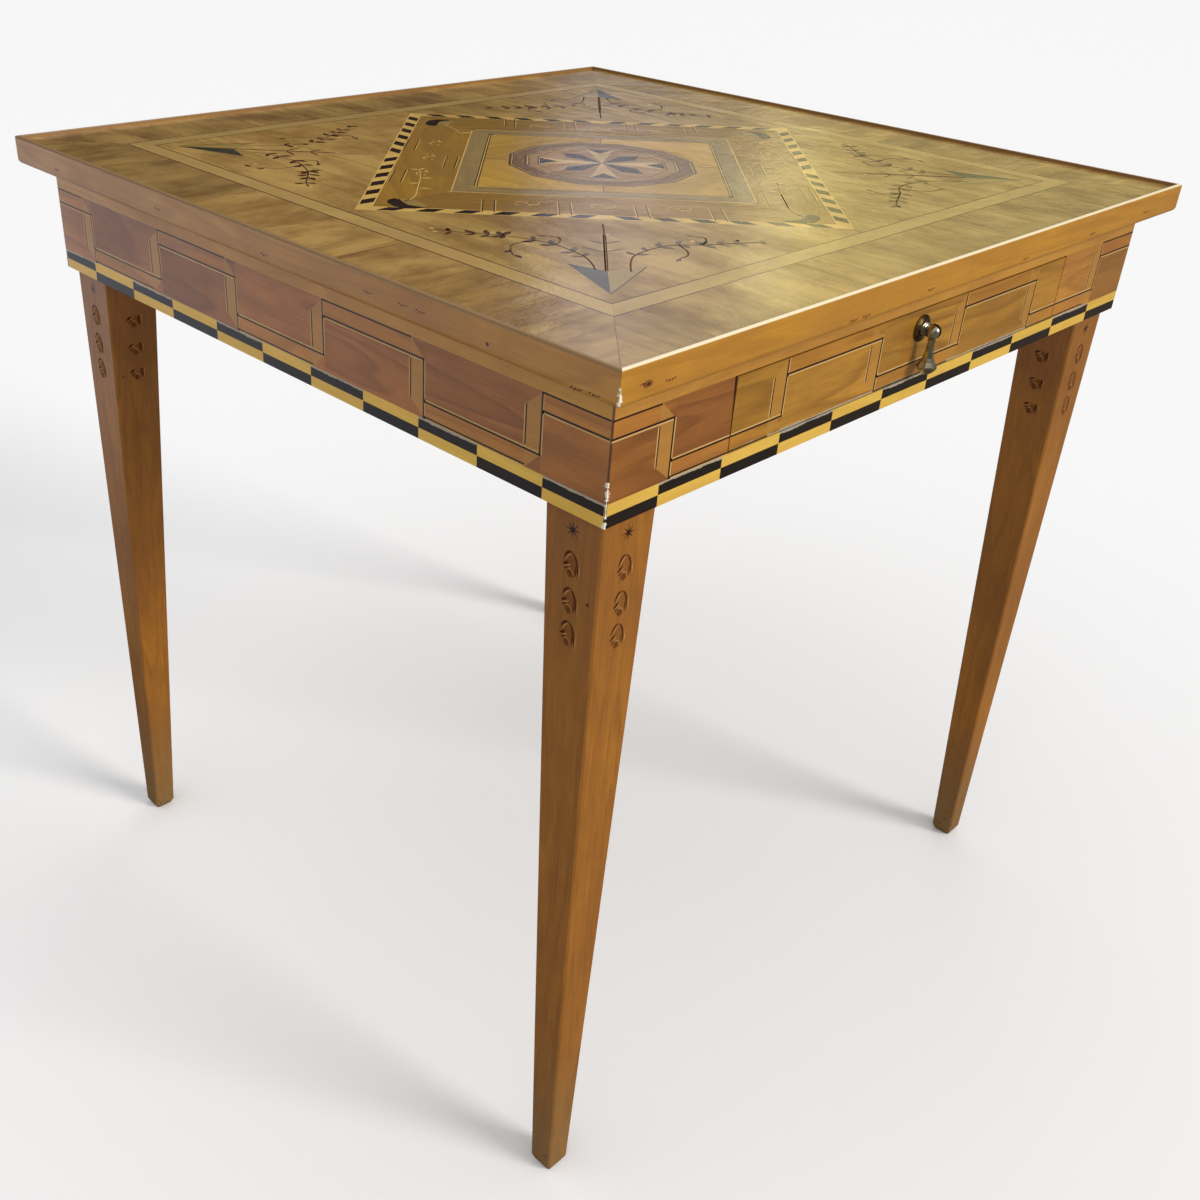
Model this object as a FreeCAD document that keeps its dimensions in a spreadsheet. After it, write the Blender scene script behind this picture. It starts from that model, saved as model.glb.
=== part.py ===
import FreeCAD, Part
import Sketcher
import math
import os

# Square table with a marquetry top, a veneered apron with one drawer and four tapered legs.
# Millimetres, +Z up. The origin is on the floor below the middle of the top, and the drawer
# opens towards -Y. Left and right are those of a person who faces the drawer.

doc = FreeCAD.newDocument("inlaid_table")

sizes = {
    # whole table
    "table_width": 776,
    "table_depth": 752,
    "table_height": 780,
    "overhang": 23.5,
    "veneer": 1.5,
    # edge moulding of the top, with its raised lip
    "edge_height": 25,
    "edge_width": 22,
    "edge_round": 1.8,
    "edge_belly": 4.5,
    "lip_height": 3,
    "lip_width": 3.5,
    "lip_round": 0.6,
    # marquetry of the top, from the lip inwards
    "border_width": 69,
    "light_band": 17,
    "string_width": 1.2,
    "diamond_margin": 8.5,
    "stripe_width": 11.5,
    "stripe_lean": 9,
    "diamond_band": 57,
    "frame_strip": 17,
    "frame_string": 3,
    # arrowheads in the corners of the field
    "arrow_inset": 19,
    "arrow_notch": 52,
    "arrow_barb": 67,
    "arrow_half_width": 28.5,
    # apron
    "apron_height": 95,
    "apron_thickness": 20,
    "chequer_row": 8.7,
    "frieze_strip": 13.5,
    "frieze_post": 15.5,
    "strip_mitre": 14.5,
    "post_mitre": 12.5,
    # legs
    "leg_inset": 6.5,
    "leg_width": 53,
    "foot_width": 23,
    "toe_wear": 2.5,
    "toe_height": 6,
    "leg_arris": 1.5,
    # front frame: the drawer's opening lies between two stiles
    "stile_left": 121,
    "stile_right": 133,
    "rail_depth": 55,
    "tenon_length": 14,
    "tenon_thickness": 8,
    "glue_block": 22,
    "glue_block_length": 70,
    # drawer
    "drawer_gap": 1.2,
    "drawer_back_gap": 123.5,
    "front_thickness": 18,
    "front_lap": 6,
    "side_thickness": 11,
    "back_thickness": 10,
    "bottom_thickness": 6,
    "bottom_rise": 6,
    "groove_depth": 5,
    # what the drawer runs in
    "side_play": 0.5,
    "run_play": 0.3,
    "runner_width": 30,
    "guide_width": 14,
    "guide_height": 32,
    "kicker_width": 24,
    "stop_height": 3.5,
    "stop_depth": 12,
    "stop_width": 36,
    "stop_inset": 60,
    # drop pull
    "pull_rise": 12,
    "rosette_radius": 10.8,
    "rosette_rim": 1.2,
    "rosette_thickness": 2.6,
    "shank_radius": 2.5,
    "shank_play": 0.15,
    "shank_tail": 6,
    "collar_radius": 6,
    "neck_radius": 4.4,
    "ball_reach": 10.8,
    "ball_radius": 6,
    "nut_radius": 7,
    "nut_thickness": 4,
    "tongue_thickness": 2.6,
    "tongue_radius": 3.2,
    "slot_play": 0.3,
    "pin_radius": 1.1,
    "pin_fit": 0.03,
    "pin_play": 0.09,
    "drop_length": 34,
    "drop_neck": 2.6,
    "drop_bell": 8.2,
    # how far a cut runs past the face that it opens
    "overrun": 2,
}

shares = {
    # of the apron's height above the chequers
    "frieze_share": 0.741,
    # how far the glue blocks stand from the middle, of the depth inside and of the drawer's opening
    "side_block_share": 0.453,
    "back_block_share": 0.318,
    # of a rail's height
    "tenon_share": 0.5,
    # of the largest circle in the centre panel
    "medallion_share": 0.823,
    # of the medallion's radius
    "medallion_band_share": 0.157,
    "medallion_inner_band_share": 0.124,
    # of the radius inside the medallion's rings
    "kite_length_share": 0.828,
    "kite_shoulder_share": 0.568,
    "kite_half_width_share": 0.162,
    "point_depth_share": 0.308,
    "point_half_width_share": 0.219,
    # of the height that the drawer's dovetails have
    "tail_root_share": 0.25,
    "tail_tip_share": 0.342,
}

places = {
    # heights
    "underside": "size.table_height - size.edge_height",
    "surface": "size.table_height - size.lip_height",
    "bed": "surface - size.veneer",
    "apron_foot": "underside - size.apron_height",
    "rail_top": "apron_foot + 2 * size.chequer_row",
    "frieze_height": "(size.apron_height - 2 * size.chequer_row) * share.frieze_share",
    "opening_top": "rail_top + frieze_height",
    "cap_height": "underside - opening_top",
    # apron: veneered faces, faces of the boards, inner faces of the boards
    "apron_x": "size.table_width / 2 - size.overhang",
    "apron_y": "size.table_depth / 2 - size.overhang",
    "board_x": "apron_x - size.veneer",
    "board_y": "apron_y - size.veneer",
    "inner_x": "board_x - size.apron_thickness",
    "inner_y": "board_y - size.apron_thickness",
    # top: inner side of the lip, of the border and of the light band
    "lip_x": "size.table_width / 2 - size.lip_width",
    "lip_y": "size.table_depth / 2 - size.lip_width",
    "core_x": "size.table_width / 2 - size.edge_width",
    "core_y": "size.table_depth / 2 - size.edge_width",
    # legs: corner posts stand inside the apron boards
    "post_start": "size.veneer + size.apron_thickness - size.leg_inset",
    "post_end": "size.leg_width - size.leg_arris",
    "ankle_width": "size.foot_width + (size.leg_width - size.foot_width) * size.toe_height / apron_foot",
    # drawer and its opening
    "opening_left": "size.stile_left - board_x",
    "opening_right": "board_x - size.stile_right",
    "opening_width": "opening_right - opening_left",
    "drawer_left": "opening_left + size.drawer_gap",
    "drawer_right": "opening_right - size.drawer_gap",
    "drawer_width": "opening_width - 2 * size.drawer_gap",
    "drawer_low": "rail_top + size.drawer_gap",
    "drawer_height": "frieze_height - 2 * size.drawer_gap",
    "front_inside": "size.front_thickness - board_y",
    "drawer_end": "inner_y - size.drawer_back_gap",
    "rail_end": "size.rail_depth - board_y",
    "tail_depth": "size.front_thickness - size.front_lap",
    "side_length": "drawer_end - front_inside",
    "bottom_top": "size.bottom_rise + size.bottom_thickness",
    "tail_zone": "drawer_height - bottom_top",
    "tail_root": "tail_zone * share.tail_root_share",
    "tail_tip": "tail_zone * share.tail_tip_share",
    "runner_top": "drawer_low - size.run_play",
    "runner_height": "runner_top - apron_foot",
    "runner_length": "inner_y - rail_end",
    # pull
    "pull_x": "(opening_left + opening_right) / 2",
    "pull_height": "rail_top + frieze_height / 2 + size.pull_rise",
}

core_board_count = 4
frieze_unit_count = 6
stripe_half_count = 12
ring_count = 12
drop_sides = 8
tail_shares = (0.25, 0.75)
# where one chequer ends and the next begins, of the length of its side
long_side_shares = (0, 0.07, 0.161, 0.252, 0.343, 0.436, 0.528, 0.625, 0.72, 0.821, 0.917, 1)
short_side_shares = (0, 0.078, 0.175, 0.27, 0.369, 0.464, 0.557, 0.65, 0.741, 0.83, 0.921, 1)


def fill(name, cells):
    sheet = doc.addObject("Spreadsheet::Sheet", name)
    for row, (alias, content) in enumerate(cells.items(), start=1):
        cell = "B%d" % row
        sheet.set("A%d" % row, alias)
        sheet.set(cell, content)
        sheet.setAlias(cell, alias)
    doc.recompute()
    return sheet


size = fill("size", {alias: str(length) for alias, length in sizes.items()})
share = fill("share", {alias: str(part) for alias, part in shares.items()})
place = fill("place", {alias: "=" + formula for alias, formula in places.items()})
nodes = []


def measure(formula):
    return float(size.evalExpression(formula))


def keep(item, label):
    item.Label = label
    nodes.append(item)
    return item


def bind(item, formulas):
    for name, formula in formulas.items():
        item.setExpression(name, formula)


def put(item, corner, turn=0):
    item.Placement = FreeCAD.Placement(FreeCAD.Vector(), FreeCAD.Rotation(FreeCAD.Vector(0, 0, 1), turn))
    bind(item, {"Placement.Base." + axis: formula for axis, formula in zip("xyz", corner)})


def out_of_front(item, reach):
    # turns the item's own Z axis out of the drawer's front, on the pull's centre line
    item.Placement = FreeCAD.Placement(FreeCAD.Vector(), FreeCAD.Rotation(FreeCAD.Vector(1, 0, 0), 90))
    bind(item, {"Placement.Base.x": "place.pull_x", "Placement.Base.y": "-place.apron_y - (%s)" % reach,
                "Placement.Base.z": "place.pull_height"})


def across_ball(item, reach):
    # turns the item's own Z axis along the hinge axis of the pull, starting that far to the left of it
    item.Placement = FreeCAD.Placement(FreeCAD.Vector(), FreeCAD.Rotation(FreeCAD.Vector(0, 1, 0), 90))
    bind(item, {"Placement.Base.x": "place.pull_x - (%s)" % reach,
                "Placement.Base.y": "-place.apron_y - size.ball_reach",
                "Placement.Base.z": "place.pull_height"})


# Plain boards

def box(name, corner, spans):
    item = doc.addObject("Part::Box", name)
    bind(item, dict(zip(("Length", "Width", "Height"), spans)))
    put(item, corner)
    return item


def joined(name, kind, base, tool):
    item = doc.addObject(kind, name)
    item.Base = base
    item.Tool = tool
    item.Refine = True
    return item


def together(name, items):
    item = doc.addObject("Part::Compound", name)
    item.Links = items
    return item


def mitred_board(name, corner, turn, length, ends):
    # outer face on local y = 0, mitred at the ends that are named
    item = doc.addObject("Part::Wedge", name)
    near = "size.apron_thickness" if "start" in ends else "0"
    far = length + " - size.apron_thickness" if "end" in ends else length
    bind(item, {
        "Xmin": "0", "Xmax": length, "X2min": near, "X2max": far,
        "Ymin": "0", "Ymax": "size.apron_thickness",
        "Zmin": "0", "Zmax": "size.apron_height", "Z2min": "0", "Z2max": "size.apron_height",
    })
    put(item, corner, turn)
    return item


# Bodies with sketches

def new_body(name):
    return doc.addObject("PartDesign::Body", name)


def outline(body, name, role, loops, rise=None):
    # closed loops of straight lines; every corner is held by its two distances from the origin
    sketch = body.newObject("Sketcher::SketchObject", name)
    plane = [item for item in body.Origin.OriginFeatures if item.Role == role][0]
    sketch.AttachmentSupport = [(plane, "")]
    sketch.MapMode = "FlatFace"
    if rise:
        sketch.setExpression("AttachmentOffset.Base.z", rise)
    for corners in loops:
        first = sketch.GeometryCount
        points = [FreeCAD.Vector(measure(across), measure(up), 0) for across, up in corners]
        for start, end in zip(points, points[1:] + points[:1]):
            sketch.addGeometry(Part.LineSegment(start, end), False)
        lines = list(range(first, sketch.GeometryCount))
        for line, after in zip(lines, lines[1:] + lines[:1]):
            sketch.addConstraint(Sketcher.Constraint("Coincident", line, 2, after, 1))
        for line, corner, point in zip(lines, corners, points):
            for kind, formula, distance in zip(("DistanceX", "DistanceY"), corner, point[:2]):
                index = sketch.addConstraint(Sketcher.Constraint(kind, -1, 1, line, 1, distance))
                sketch.setExpression("Constraints[%d]" % index, formula)
    return sketch


def rectangle(low_across, low_up, high_across, high_up):
    return [(low_across, low_up), (high_across, low_up), (high_across, high_up), (low_across, high_up)]


def pad(body, sketch, length, reversed_pad=False):
    item = body.newObject("PartDesign::Pad", sketch.Name + "_pad")
    item.Profile = sketch
    item.Reversed = reversed_pad
    item.setExpression("Length", length)
    doc.recompute()
    return item


def cut(body, sketch, length, reversed_cut=False):
    # a cut that misses the solid shows no error, so the volume has to fall
    before = body.Shape.Volume
    item = body.newObject("PartDesign::Pocket", sketch.Name + "_cut")
    item.Profile = sketch
    item.Reversed = reversed_cut
    item.setExpression("Length", length)
    doc.recompute()
    if not body.Shape.Volume < before:
        raise RuntimeError("%s cuts nothing" % item.Name)
    return item


def rounded(body, name, radius, chosen):
    base = body.Tip
    edges = ["Edge%d" % (index + 1) for index, edge in enumerate(base.Shape.Edges) if chosen(edge)]
    item = body.newObject("PartDesign::Fillet", name)
    item.Base = (base, edges)
    item.setExpression("Radius", radius)
    doc.recompute()
    return item


def spun(body, sketch):
    item = body.newObject("PartDesign::Revolution", sketch.Name + "_turned")
    item.Profile = sketch
    item.ReferenceAxis = (sketch, ["V_Axis"])
    doc.recompute()
    return item


def within(edge, axis, value):
    # the whole edge lies at this value of the axis
    return all(math.isclose(getattr(vertex, axis), value, abs_tol=edge.Tolerance) for vertex in edge.Vertexes)


# Edge mouldings of the top

def edge_moulding(label, length, corner, turn):
    body = new_body(label)
    profile = outline(body, label + "_profile", "YZ_Plane", [[
        ("0", "0"),
        ("size.edge_width", "0"),
        ("size.edge_width", "place.bed - place.underside"),
        ("size.lip_width", "place.bed - place.underside"),
        ("size.lip_width", "size.edge_height"),
        ("0", "size.edge_height"),
    ]])
    pad(body, profile, length)
    high = measure("size.edge_height")
    lip = measure("size.lip_width")
    rounded(body, label + "_belly", "size.edge_belly",
            lambda edge: within(edge, "Y", 0) and within(edge, "Z", 0))
    rounded(body, label + "_arris", "size.edge_round",
            lambda edge: within(edge, "Y", 0) and within(edge, "Z", high))
    rounded(body, label + "_lip", "size.lip_round",
            lambda edge: within(edge, "Y", lip) and within(edge, "Z", high))
    past = "size.edge_width + size.overrun"
    mitres = outline(body, label + "_mitres", "XY_Plane", [
        [("-size.overrun", "-size.overrun"), (past, past), ("-size.overrun", past)],
        [("%s + size.overrun" % length, "-size.overrun"), ("%s + size.overrun" % length, past),
         ("%s - size.edge_width - size.overrun" % length, past)],
    ])
    cut(body, mitres, "size.edge_height + size.overrun", True)
    put(body, corner, turn)
    return keep(body, label)


half_width = "size.table_width / 2"
half_depth = "size.table_depth / 2"
for label, length, x, y, turn in (
    ("edge_front", "size.table_width", "-" + half_width, "-" + half_depth, 0),
    ("edge_right", "size.table_depth", half_width, "-" + half_depth, 90),
    ("edge_back", "size.table_width", half_width, half_depth, 180),
    ("edge_left", "size.table_depth", "-" + half_width, half_depth, 270),
):
    edge_moulding(label, length, (x, y, "place.underside"), turn)

# Core of the top: boards side by side

core_boards = []
for index in range(core_board_count):
    board_width = "2 * place.core_y / %d" % core_board_count
    board_start = "-place.core_y + %d * (%s)" % (index, board_width)
    core_boards.append(box("core_board_%d" % (index + 1), ("-place.core_x", board_start, "place.underside"),
                           ("2 * place.core_x", board_width, "place.bed - place.underside")))
keep(together("top_core_group", core_boards), "top_core")

# Marquetry of the top: prisms of veneer on the core

bed = measure("place.bed")
veneer = measure("size.veneer")


def prism(corners):
    wire = Part.makePolygon([FreeCAD.Vector(x, y, bed) for x, y in corners + corners[:1]])
    return Part.Face(wire).extrude(FreeCAD.Vector(0, 0, veneer))


def inlay(label, solids):
    item = doc.addObject("Part::Feature", label)
    item.Shape = Part.makeCompound(solids)
    return keep(item, label)


def mitred_ring(outer, inner):
    # one prism for each side between two outlines with as many corners
    count = len(outer)
    return [prism([outer[i], outer[(i + 1) % count], inner[(i + 1) % count], inner[i]]) for i in range(count)]


def rectangle_corners(inset):
    x = measure("place.lip_x") - inset
    y = measure("place.lip_y") - inset
    return [(-x, -y), (x, -y), (x, y), (-x, y)]


string = measure("size.string_width")
band_start = measure("size.border_width") + string
band_end = band_start + measure("size.light_band")
field_start = band_end + string
dark_strings = []
light_strings = []
inlay("border_veneers", mitred_ring(rectangle_corners(0), rectangle_corners(measure("size.border_width"))))
dark_strings += mitred_ring(rectangle_corners(measure("size.border_width")), rectangle_corners(band_start))
inlay("light_band", mitred_ring(rectangle_corners(band_start), rectangle_corners(band_end)))
dark_strings += mitred_ring(rectangle_corners(band_end), rectangle_corners(field_start))

# The diamond: rhombic outlines, each a given distance inside the first

field_x = measure("place.lip_x") - field_start
field_y = measure("place.lip_y") - field_start
diamond_x = field_x - measure("size.diamond_margin")
diamond_y = field_y - measure("size.diamond_margin")
diamond_side = math.hypot(diamond_x, diamond_y)


def diamond_corners(inset):
    x = diamond_x - inset * diamond_side / diamond_y
    y = diamond_y - inset * diamond_side / diamond_x
    return [(x, 0), (0, y), (-x, 0), (0, -y)]


def between(start, end, share):
    return (start[0] + (end[0] - start[0]) * share, start[1] + (end[1] - start[1]) * share)


def striped_side(outer_start, outer_end, inner_start, inner_end):
    # slanted stripes that lean towards the middle of the side, where one stripe is twice as wide
    length = math.dist(outer_start, outer_end)
    inner_length = math.dist(inner_start, inner_end)
    lean = measure("size.stripe_lean")
    mitre = (length - inner_length) / 2
    pitch = length / (2 * stripe_half_count + 2)
    near_cuts = [pitch * index for index in range(stripe_half_count + 1)]
    outer_cuts = near_cuts + [length - reach for reach in reversed(near_cuts)]
    near_inner_cuts = [0] + [reach + lean - mitre for reach in near_cuts[1:]]
    inner_cuts = near_inner_cuts + [inner_length - reach for reach in reversed(near_inner_cuts)]
    outer_line = [between(outer_start, outer_end, reach / length) for reach in outer_cuts]
    inner_line = [between(inner_start, inner_end, reach / inner_length) for reach in inner_cuts]
    return [prism([outer_line[index], outer_line[index + 1], inner_line[index + 1], inner_line[index]])
            for index in range(len(outer_cuts) - 1)]


stripe_inset = measure("size.stripe_width")
line_inset = stripe_inset + string
line_outset = string
outer = diamond_corners(line_outset)
inner = diamond_corners(stripe_inset)
light_strings += mitred_ring(diamond_corners(0), outer)
light_strings += mitred_ring(inner, diamond_corners(line_inset))
stripes = []
for index in range(len(outer)):
    after = (index + 1) % len(outer)
    stripes.append(striped_side(outer[index], outer[after], inner[index], inner[after]))
inlay("stripes_dark", [stripe for side in stripes for stripe in side[1::2]])
inlay("stripes_light", [stripe for side in stripes for stripe in side[0::2]])
band_inset = line_inset + measure("size.diamond_band")
inlay("diamond_band", mitred_ring(diamond_corners(line_inset), diamond_corners(band_inset)))
strip_start = band_inset + string
strip_end = strip_start + measure("size.frame_strip")
panel_inset = strip_end + measure("size.frame_string")
dark_strings += mitred_ring(diamond_corners(band_inset), diamond_corners(strip_start))
inlay("panel_frame", mitred_ring(diamond_corners(strip_start), diamond_corners(strip_end)))
dark_strings += mitred_ring(diamond_corners(strip_end), diamond_corners(panel_inset))

# Corner fields with an arrowhead let into each, half dark and half light

arrow_dark = []
arrow_light = []
corner_fields = []
for side_x, side_y, dark_first in ((-1, -1, True), (1, -1, False), (1, 1, True), (-1, 1, False)):
    corner = (side_x * field_x, side_y * field_y)
    inward = (-side_x * math.sqrt(0.5), -side_y * math.sqrt(0.5))
    across = (-inward[1], inward[0])

    def arrow_point(along, aside):
        reach = measure("size.arrow_inset") + along
        return tuple(corner[i] + inward[i] * reach + across[i] * aside for i in range(2))

    tip = arrow_point(0, 0)
    notch = arrow_point(measure("size.arrow_notch"), 0)
    half = measure("size.arrow_half_width")
    barbs = [arrow_point(measure("size.arrow_barb"), aside) for aside in (half, -half)]
    halves = [prism([tip, barb, notch]) for barb in barbs]
    arrow_dark.append(halves[0] if dark_first else halves[1])
    arrow_light.append(halves[1] if dark_first else halves[0])
    field = prism([corner, (0, corner[1]), (0, side_y * diamond_y), (side_x * diamond_x, 0), (corner[0], 0)])
    corner_fields.append(field.cut(halves))
inlay("arrowheads_dark", arrow_dark)
inlay("arrowheads_light", arrow_light)
inlay("corner_fields", corner_fields)

# Centre panel in quarters, with the twelve-sided medallion and its star


def ring_corners(radius):
    turns = [math.radians(360 * index / ring_count) for index in range(ring_count)]
    return [(radius * math.cos(turn), radius * math.sin(turn)) for turn in turns]


panel = diamond_corners(panel_inset)
panel_radius = diamond_x * diamond_y / diamond_side - panel_inset
medallion = panel_radius * measure("share.medallion_share")
ring_end = medallion * (1 - measure("share.medallion_band_share")) - string
inner_ring_end = ring_end - string - medallion * measure("share.medallion_inner_band_share")
middles = [between(panel[index], panel[(index + 1) % len(panel)], 0.5) for index in range(len(panel))]
rosette = prism(ring_corners(medallion))
quarters = [prism([panel[index], middles[index], (0, 0), middles[index - 1]]) for index in range(len(panel))]
inlay("centre_panel", [quarter.cut(rosette) for quarter in quarters])
dark_strings += mitred_ring(ring_corners(medallion), ring_corners(medallion - string))
inlay("medallion_ring", mitred_ring(ring_corners(medallion - string), ring_corners(ring_end)))
dark_strings += mitred_ring(ring_corners(ring_end), ring_corners(ring_end - string))
inlay("medallion_inner_ring", mitred_ring(ring_corners(ring_end - string), ring_corners(inner_ring_end)))

star_dark = []
star_light = []
star_ground = []
apothem = inner_ring_end * math.cos(math.pi / ring_count)
shoulder = inner_ring_end * measure("share.kite_shoulder_share")
kite_half = inner_ring_end * measure("share.kite_half_width_share")
kite_length = inner_ring_end * measure("share.kite_length_share")
point_half = inner_ring_end * measure("share.point_half_width_share")
notch = apothem - inner_ring_end * measure("share.point_depth_share")


def turned(along, aside, turn):
    cosine = math.cos(turn)
    sine = math.sin(turn)
    return (along * cosine - aside * sine, along * sine + aside * cosine)


for quarter in range(4):
    axis = math.radians(90 * quarter)
    diagonal = axis + math.radians(45)
    star_dark.append(prism([(0, 0), turned(shoulder, -kite_half, axis), turned(kite_length, 0, axis),
                            turned(shoulder, kite_half, axis)]))
    star_dark.append(prism([turned(notch, 0, diagonal), turned(apothem, -point_half, diagonal),
                            turned(apothem, point_half, diagonal)]))
    for hand in (-1, 1):
        star_light.append(prism([(0, 0), turned(apothem, hand * point_half, diagonal),
                                 turned(notch, 0, diagonal)]))
        # the ground is in halves that meet at the kite's tip
        star_ground.append(prism([
            (0, 0),
            turned(shoulder, hand * kite_half, axis),
            turned(kite_length, 0, axis),
            turned(inner_ring_end, 0, axis),
            turned(inner_ring_end, 0, axis + hand * 2 * math.pi / ring_count),
            turned(apothem, -hand * point_half, axis + hand * math.radians(45)),
        ]))
inlay("star_dark", star_dark)
inlay("star_light", star_light)
inlay("star_ground", star_ground)
inlay("top_strings_dark", dark_strings)
inlay("top_strings_light", light_strings)

# Legs: tapered on their two inner faces, with eased arrises, a worn toe and a square post that
# stands inside the apron's corner


def eased(low, high):
    near = "%s + size.leg_arris" % low
    far = "%s - size.leg_arris" % high
    return [(near, low), (far, low), (high, near), (high, far),
            (far, high), (near, high), (low, far), (low, near)]


for label, x, y, turn in (
    ("leg_front_left", "-place.apron_x + size.leg_inset", "-place.apron_y + size.leg_inset", 0),
    ("leg_front_right", "place.apron_x - size.leg_inset", "-place.apron_y + size.leg_inset", 90),
    ("leg_back_right", "place.apron_x - size.leg_inset", "place.apron_y - size.leg_inset", 180),
    ("leg_back_left", "-place.apron_x + size.leg_inset", "place.apron_y - size.leg_inset", 270),
):
    body = new_body(label)
    toe_loop = eased("size.toe_wear", "size.foot_width - size.toe_wear")
    toe = outline(body, label + "_toe", "XY_Plane", [toe_loop])
    ankle = outline(body, label + "_ankle", "XY_Plane", [eased("0", "place.ankle_width")], "size.toe_height")
    head = outline(body, label + "_head", "XY_Plane", [eased("0", "size.leg_width")], "place.apron_foot")
    taper = body.newObject("PartDesign::AdditiveLoft", label + "_taper")
    taper.Profile = toe
    taper.Sections = [ankle, head]
    taper.Ruled = True
    doc.recompute()
    post = outline(body, label + "_post", "XY_Plane",
                   [rectangle("place.post_start", "place.post_start", "place.post_end", "place.post_end")],
                   "place.apron_foot")
    pad(body, post, "size.apron_height")
    put(body, (x, y, "0"), turn)
    keep(body, label)

# Apron boards, mitred at the corners

keep(mitred_board("apron_right", ("place.board_x", "-place.board_y", "place.apron_foot"), 90,
                  "2 * place.board_y", ("start", "end")), "apron_right")
keep(mitred_board("apron_back", ("place.board_x", "place.board_y", "place.apron_foot"), 180,
                  "2 * place.board_x", ("start", "end")), "apron_back")
keep(mitred_board("apron_left", ("-place.board_x", "place.board_y", "place.apron_foot"), 270,
                  "2 * place.board_y", ("start", "end")), "apron_left")

# Front frame: two rails tenoned into two stiles around the drawer's opening


def front_rail(label, low, height):
    rail = box(label + "_board", ("place.opening_left", "-place.board_y", low),
               ("place.opening_width", "size.rail_depth", height))
    tenon = box(label + "_tenon",
                ("place.opening_left - size.tenon_length",
                 "-place.board_y + (size.apron_thickness - size.tenon_thickness) / 2",
                 "%s + %s * (1 - share.tenon_share) / 2" % (low, height)),
                ("place.opening_width + 2 * size.tenon_length", "size.tenon_thickness",
                 "%s * share.tenon_share" % height))
    keep(joined(label + "_whole", "Part::Fuse", rail, tenon), label)
    return tenon


tenons = together("rail_tenons", [
    front_rail("front_bottom_rail", "place.apron_foot", "2 * size.chequer_row"),
    front_rail("front_top_rail", "place.opening_top", "place.cap_height"),
])
left_stile = mitred_board("left_stile_board", ("-place.board_x", "-place.board_y", "place.apron_foot"), 0,
                          "(place.opening_left + place.board_x)", ("start",))
keep(joined("left_stile", "Part::Cut", left_stile, tenons), "front_stile_left")
right_stile = mitred_board("right_stile_board",
                           ("place.opening_right", "-place.board_y", "place.apron_foot"), 0,
                           "(place.board_x - place.opening_right)", ("end",))
keep(joined("right_stile", "Part::Cut", right_stile, tenons), "front_stile_right")

# Runners, guides and kickers of the drawer, one set on each side, and its stops

for hand, side_face, out in (("left", "place.drawer_left", -1), ("right", "place.drawer_right", 1)):
    guide_face = "%s + %d * size.side_play" % (side_face, out)
    runner_x = guide_face + " + size.guide_width - size.runner_width"
    guide_x = guide_face
    kicker_x = side_face + " - size.kicker_width"
    if out < 0:
        runner_x = guide_face + " - size.guide_width"
        guide_x = runner_x
        kicker_x = side_face
    keep(box("runner_" + hand, (runner_x, "place.rail_end", "place.apron_foot"),
             ("size.runner_width", "place.runner_length", "place.runner_height")), "drawer_runner_" + hand)
    keep(box("guide_" + hand, (guide_x, "place.rail_end", "place.runner_top"),
             ("size.guide_width", "place.runner_length", "size.guide_height")), "drawer_guide_" + hand)
    keep(box("kicker_" + hand, (kicker_x, "place.rail_end", "place.opening_top"),
             ("size.kicker_width", "place.runner_length", "place.cap_height")), "drawer_kicker_" + hand)

stop_places = {"left": "place.drawer_left + size.stop_inset",
               "right": "place.drawer_right - size.stop_inset - size.stop_width"}
keep(together("stop_group", [
    box("stop_" + hand, (x, "place.front_inside + size.run_play", "place.rail_top"),
        ("size.stop_width", "size.stop_depth", "size.stop_height")) for hand, x in stop_places.items()
]), "drawer_stops")

# Glue blocks in the angle between the apron boards and the top

block_low = "place.underside - size.glue_block"
glue_blocks = []
for hand in (-1, 1):
    y = "%d * place.inner_y * share.side_block_share - size.glue_block_length / 2" % hand
    for side, x in (("left", "-place.inner_x"), ("right", "place.inner_x - size.glue_block")):
        glue_blocks.append(box("block_%s_%d" % (side, hand), (x, y, block_low),
                               ("size.glue_block", "size.glue_block_length", "size.glue_block")))
    x = "place.pull_x + %d * place.opening_width * share.back_block_share - size.glue_block_length / 2" % hand
    glue_blocks.append(box("block_back_%d" % hand, (x, "place.inner_y - size.glue_block", block_low),
                           ("size.glue_block_length", "size.glue_block", "size.glue_block")))
keep(together("glue_block_group", glue_blocks), "glue_blocks")

# Veneers of the apron. Each side is read from left to right as seen from outside.

apron_x = measure("place.apron_x")
apron_y = measure("place.apron_y")
frieze_low = measure("place.rail_top")
frieze_high = measure("place.opening_top")
short_y = apron_y - veneer
to_right = FreeCAD.Vector(1, 0, 0)
to_back = FreeCAD.Vector(0, 1, 0)
# start of the side, the way along it, the way into the table, length
apron_sides = {
    "front": (FreeCAD.Vector(-apron_x, -apron_y, 0), to_right, to_back, 2 * apron_x),
    "back": (FreeCAD.Vector(apron_x, apron_y, 0), -to_right, -to_back, 2 * apron_x),
    "left": (FreeCAD.Vector(-apron_x, short_y, 0), -to_back, to_right, 2 * short_y),
    "right": (FreeCAD.Vector(apron_x, -short_y, 0), to_back, -to_right, 2 * short_y),
}


def tile(side, corners):
    # prism of veneer on a side; corners are (along the side, height)
    start, along, inward, _ = apron_sides[side]
    points = [start + along * across + FreeCAD.Vector(0, 0, up) for across, up in corners]
    return Part.Face(Part.makePolygon(points + points[:1])).extrude(inward * veneer)


def tile_box(side, low_across, low_up, high_across, high_up):
    return tile(side, rectangle(low_across, low_up, high_across, high_up))


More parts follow.
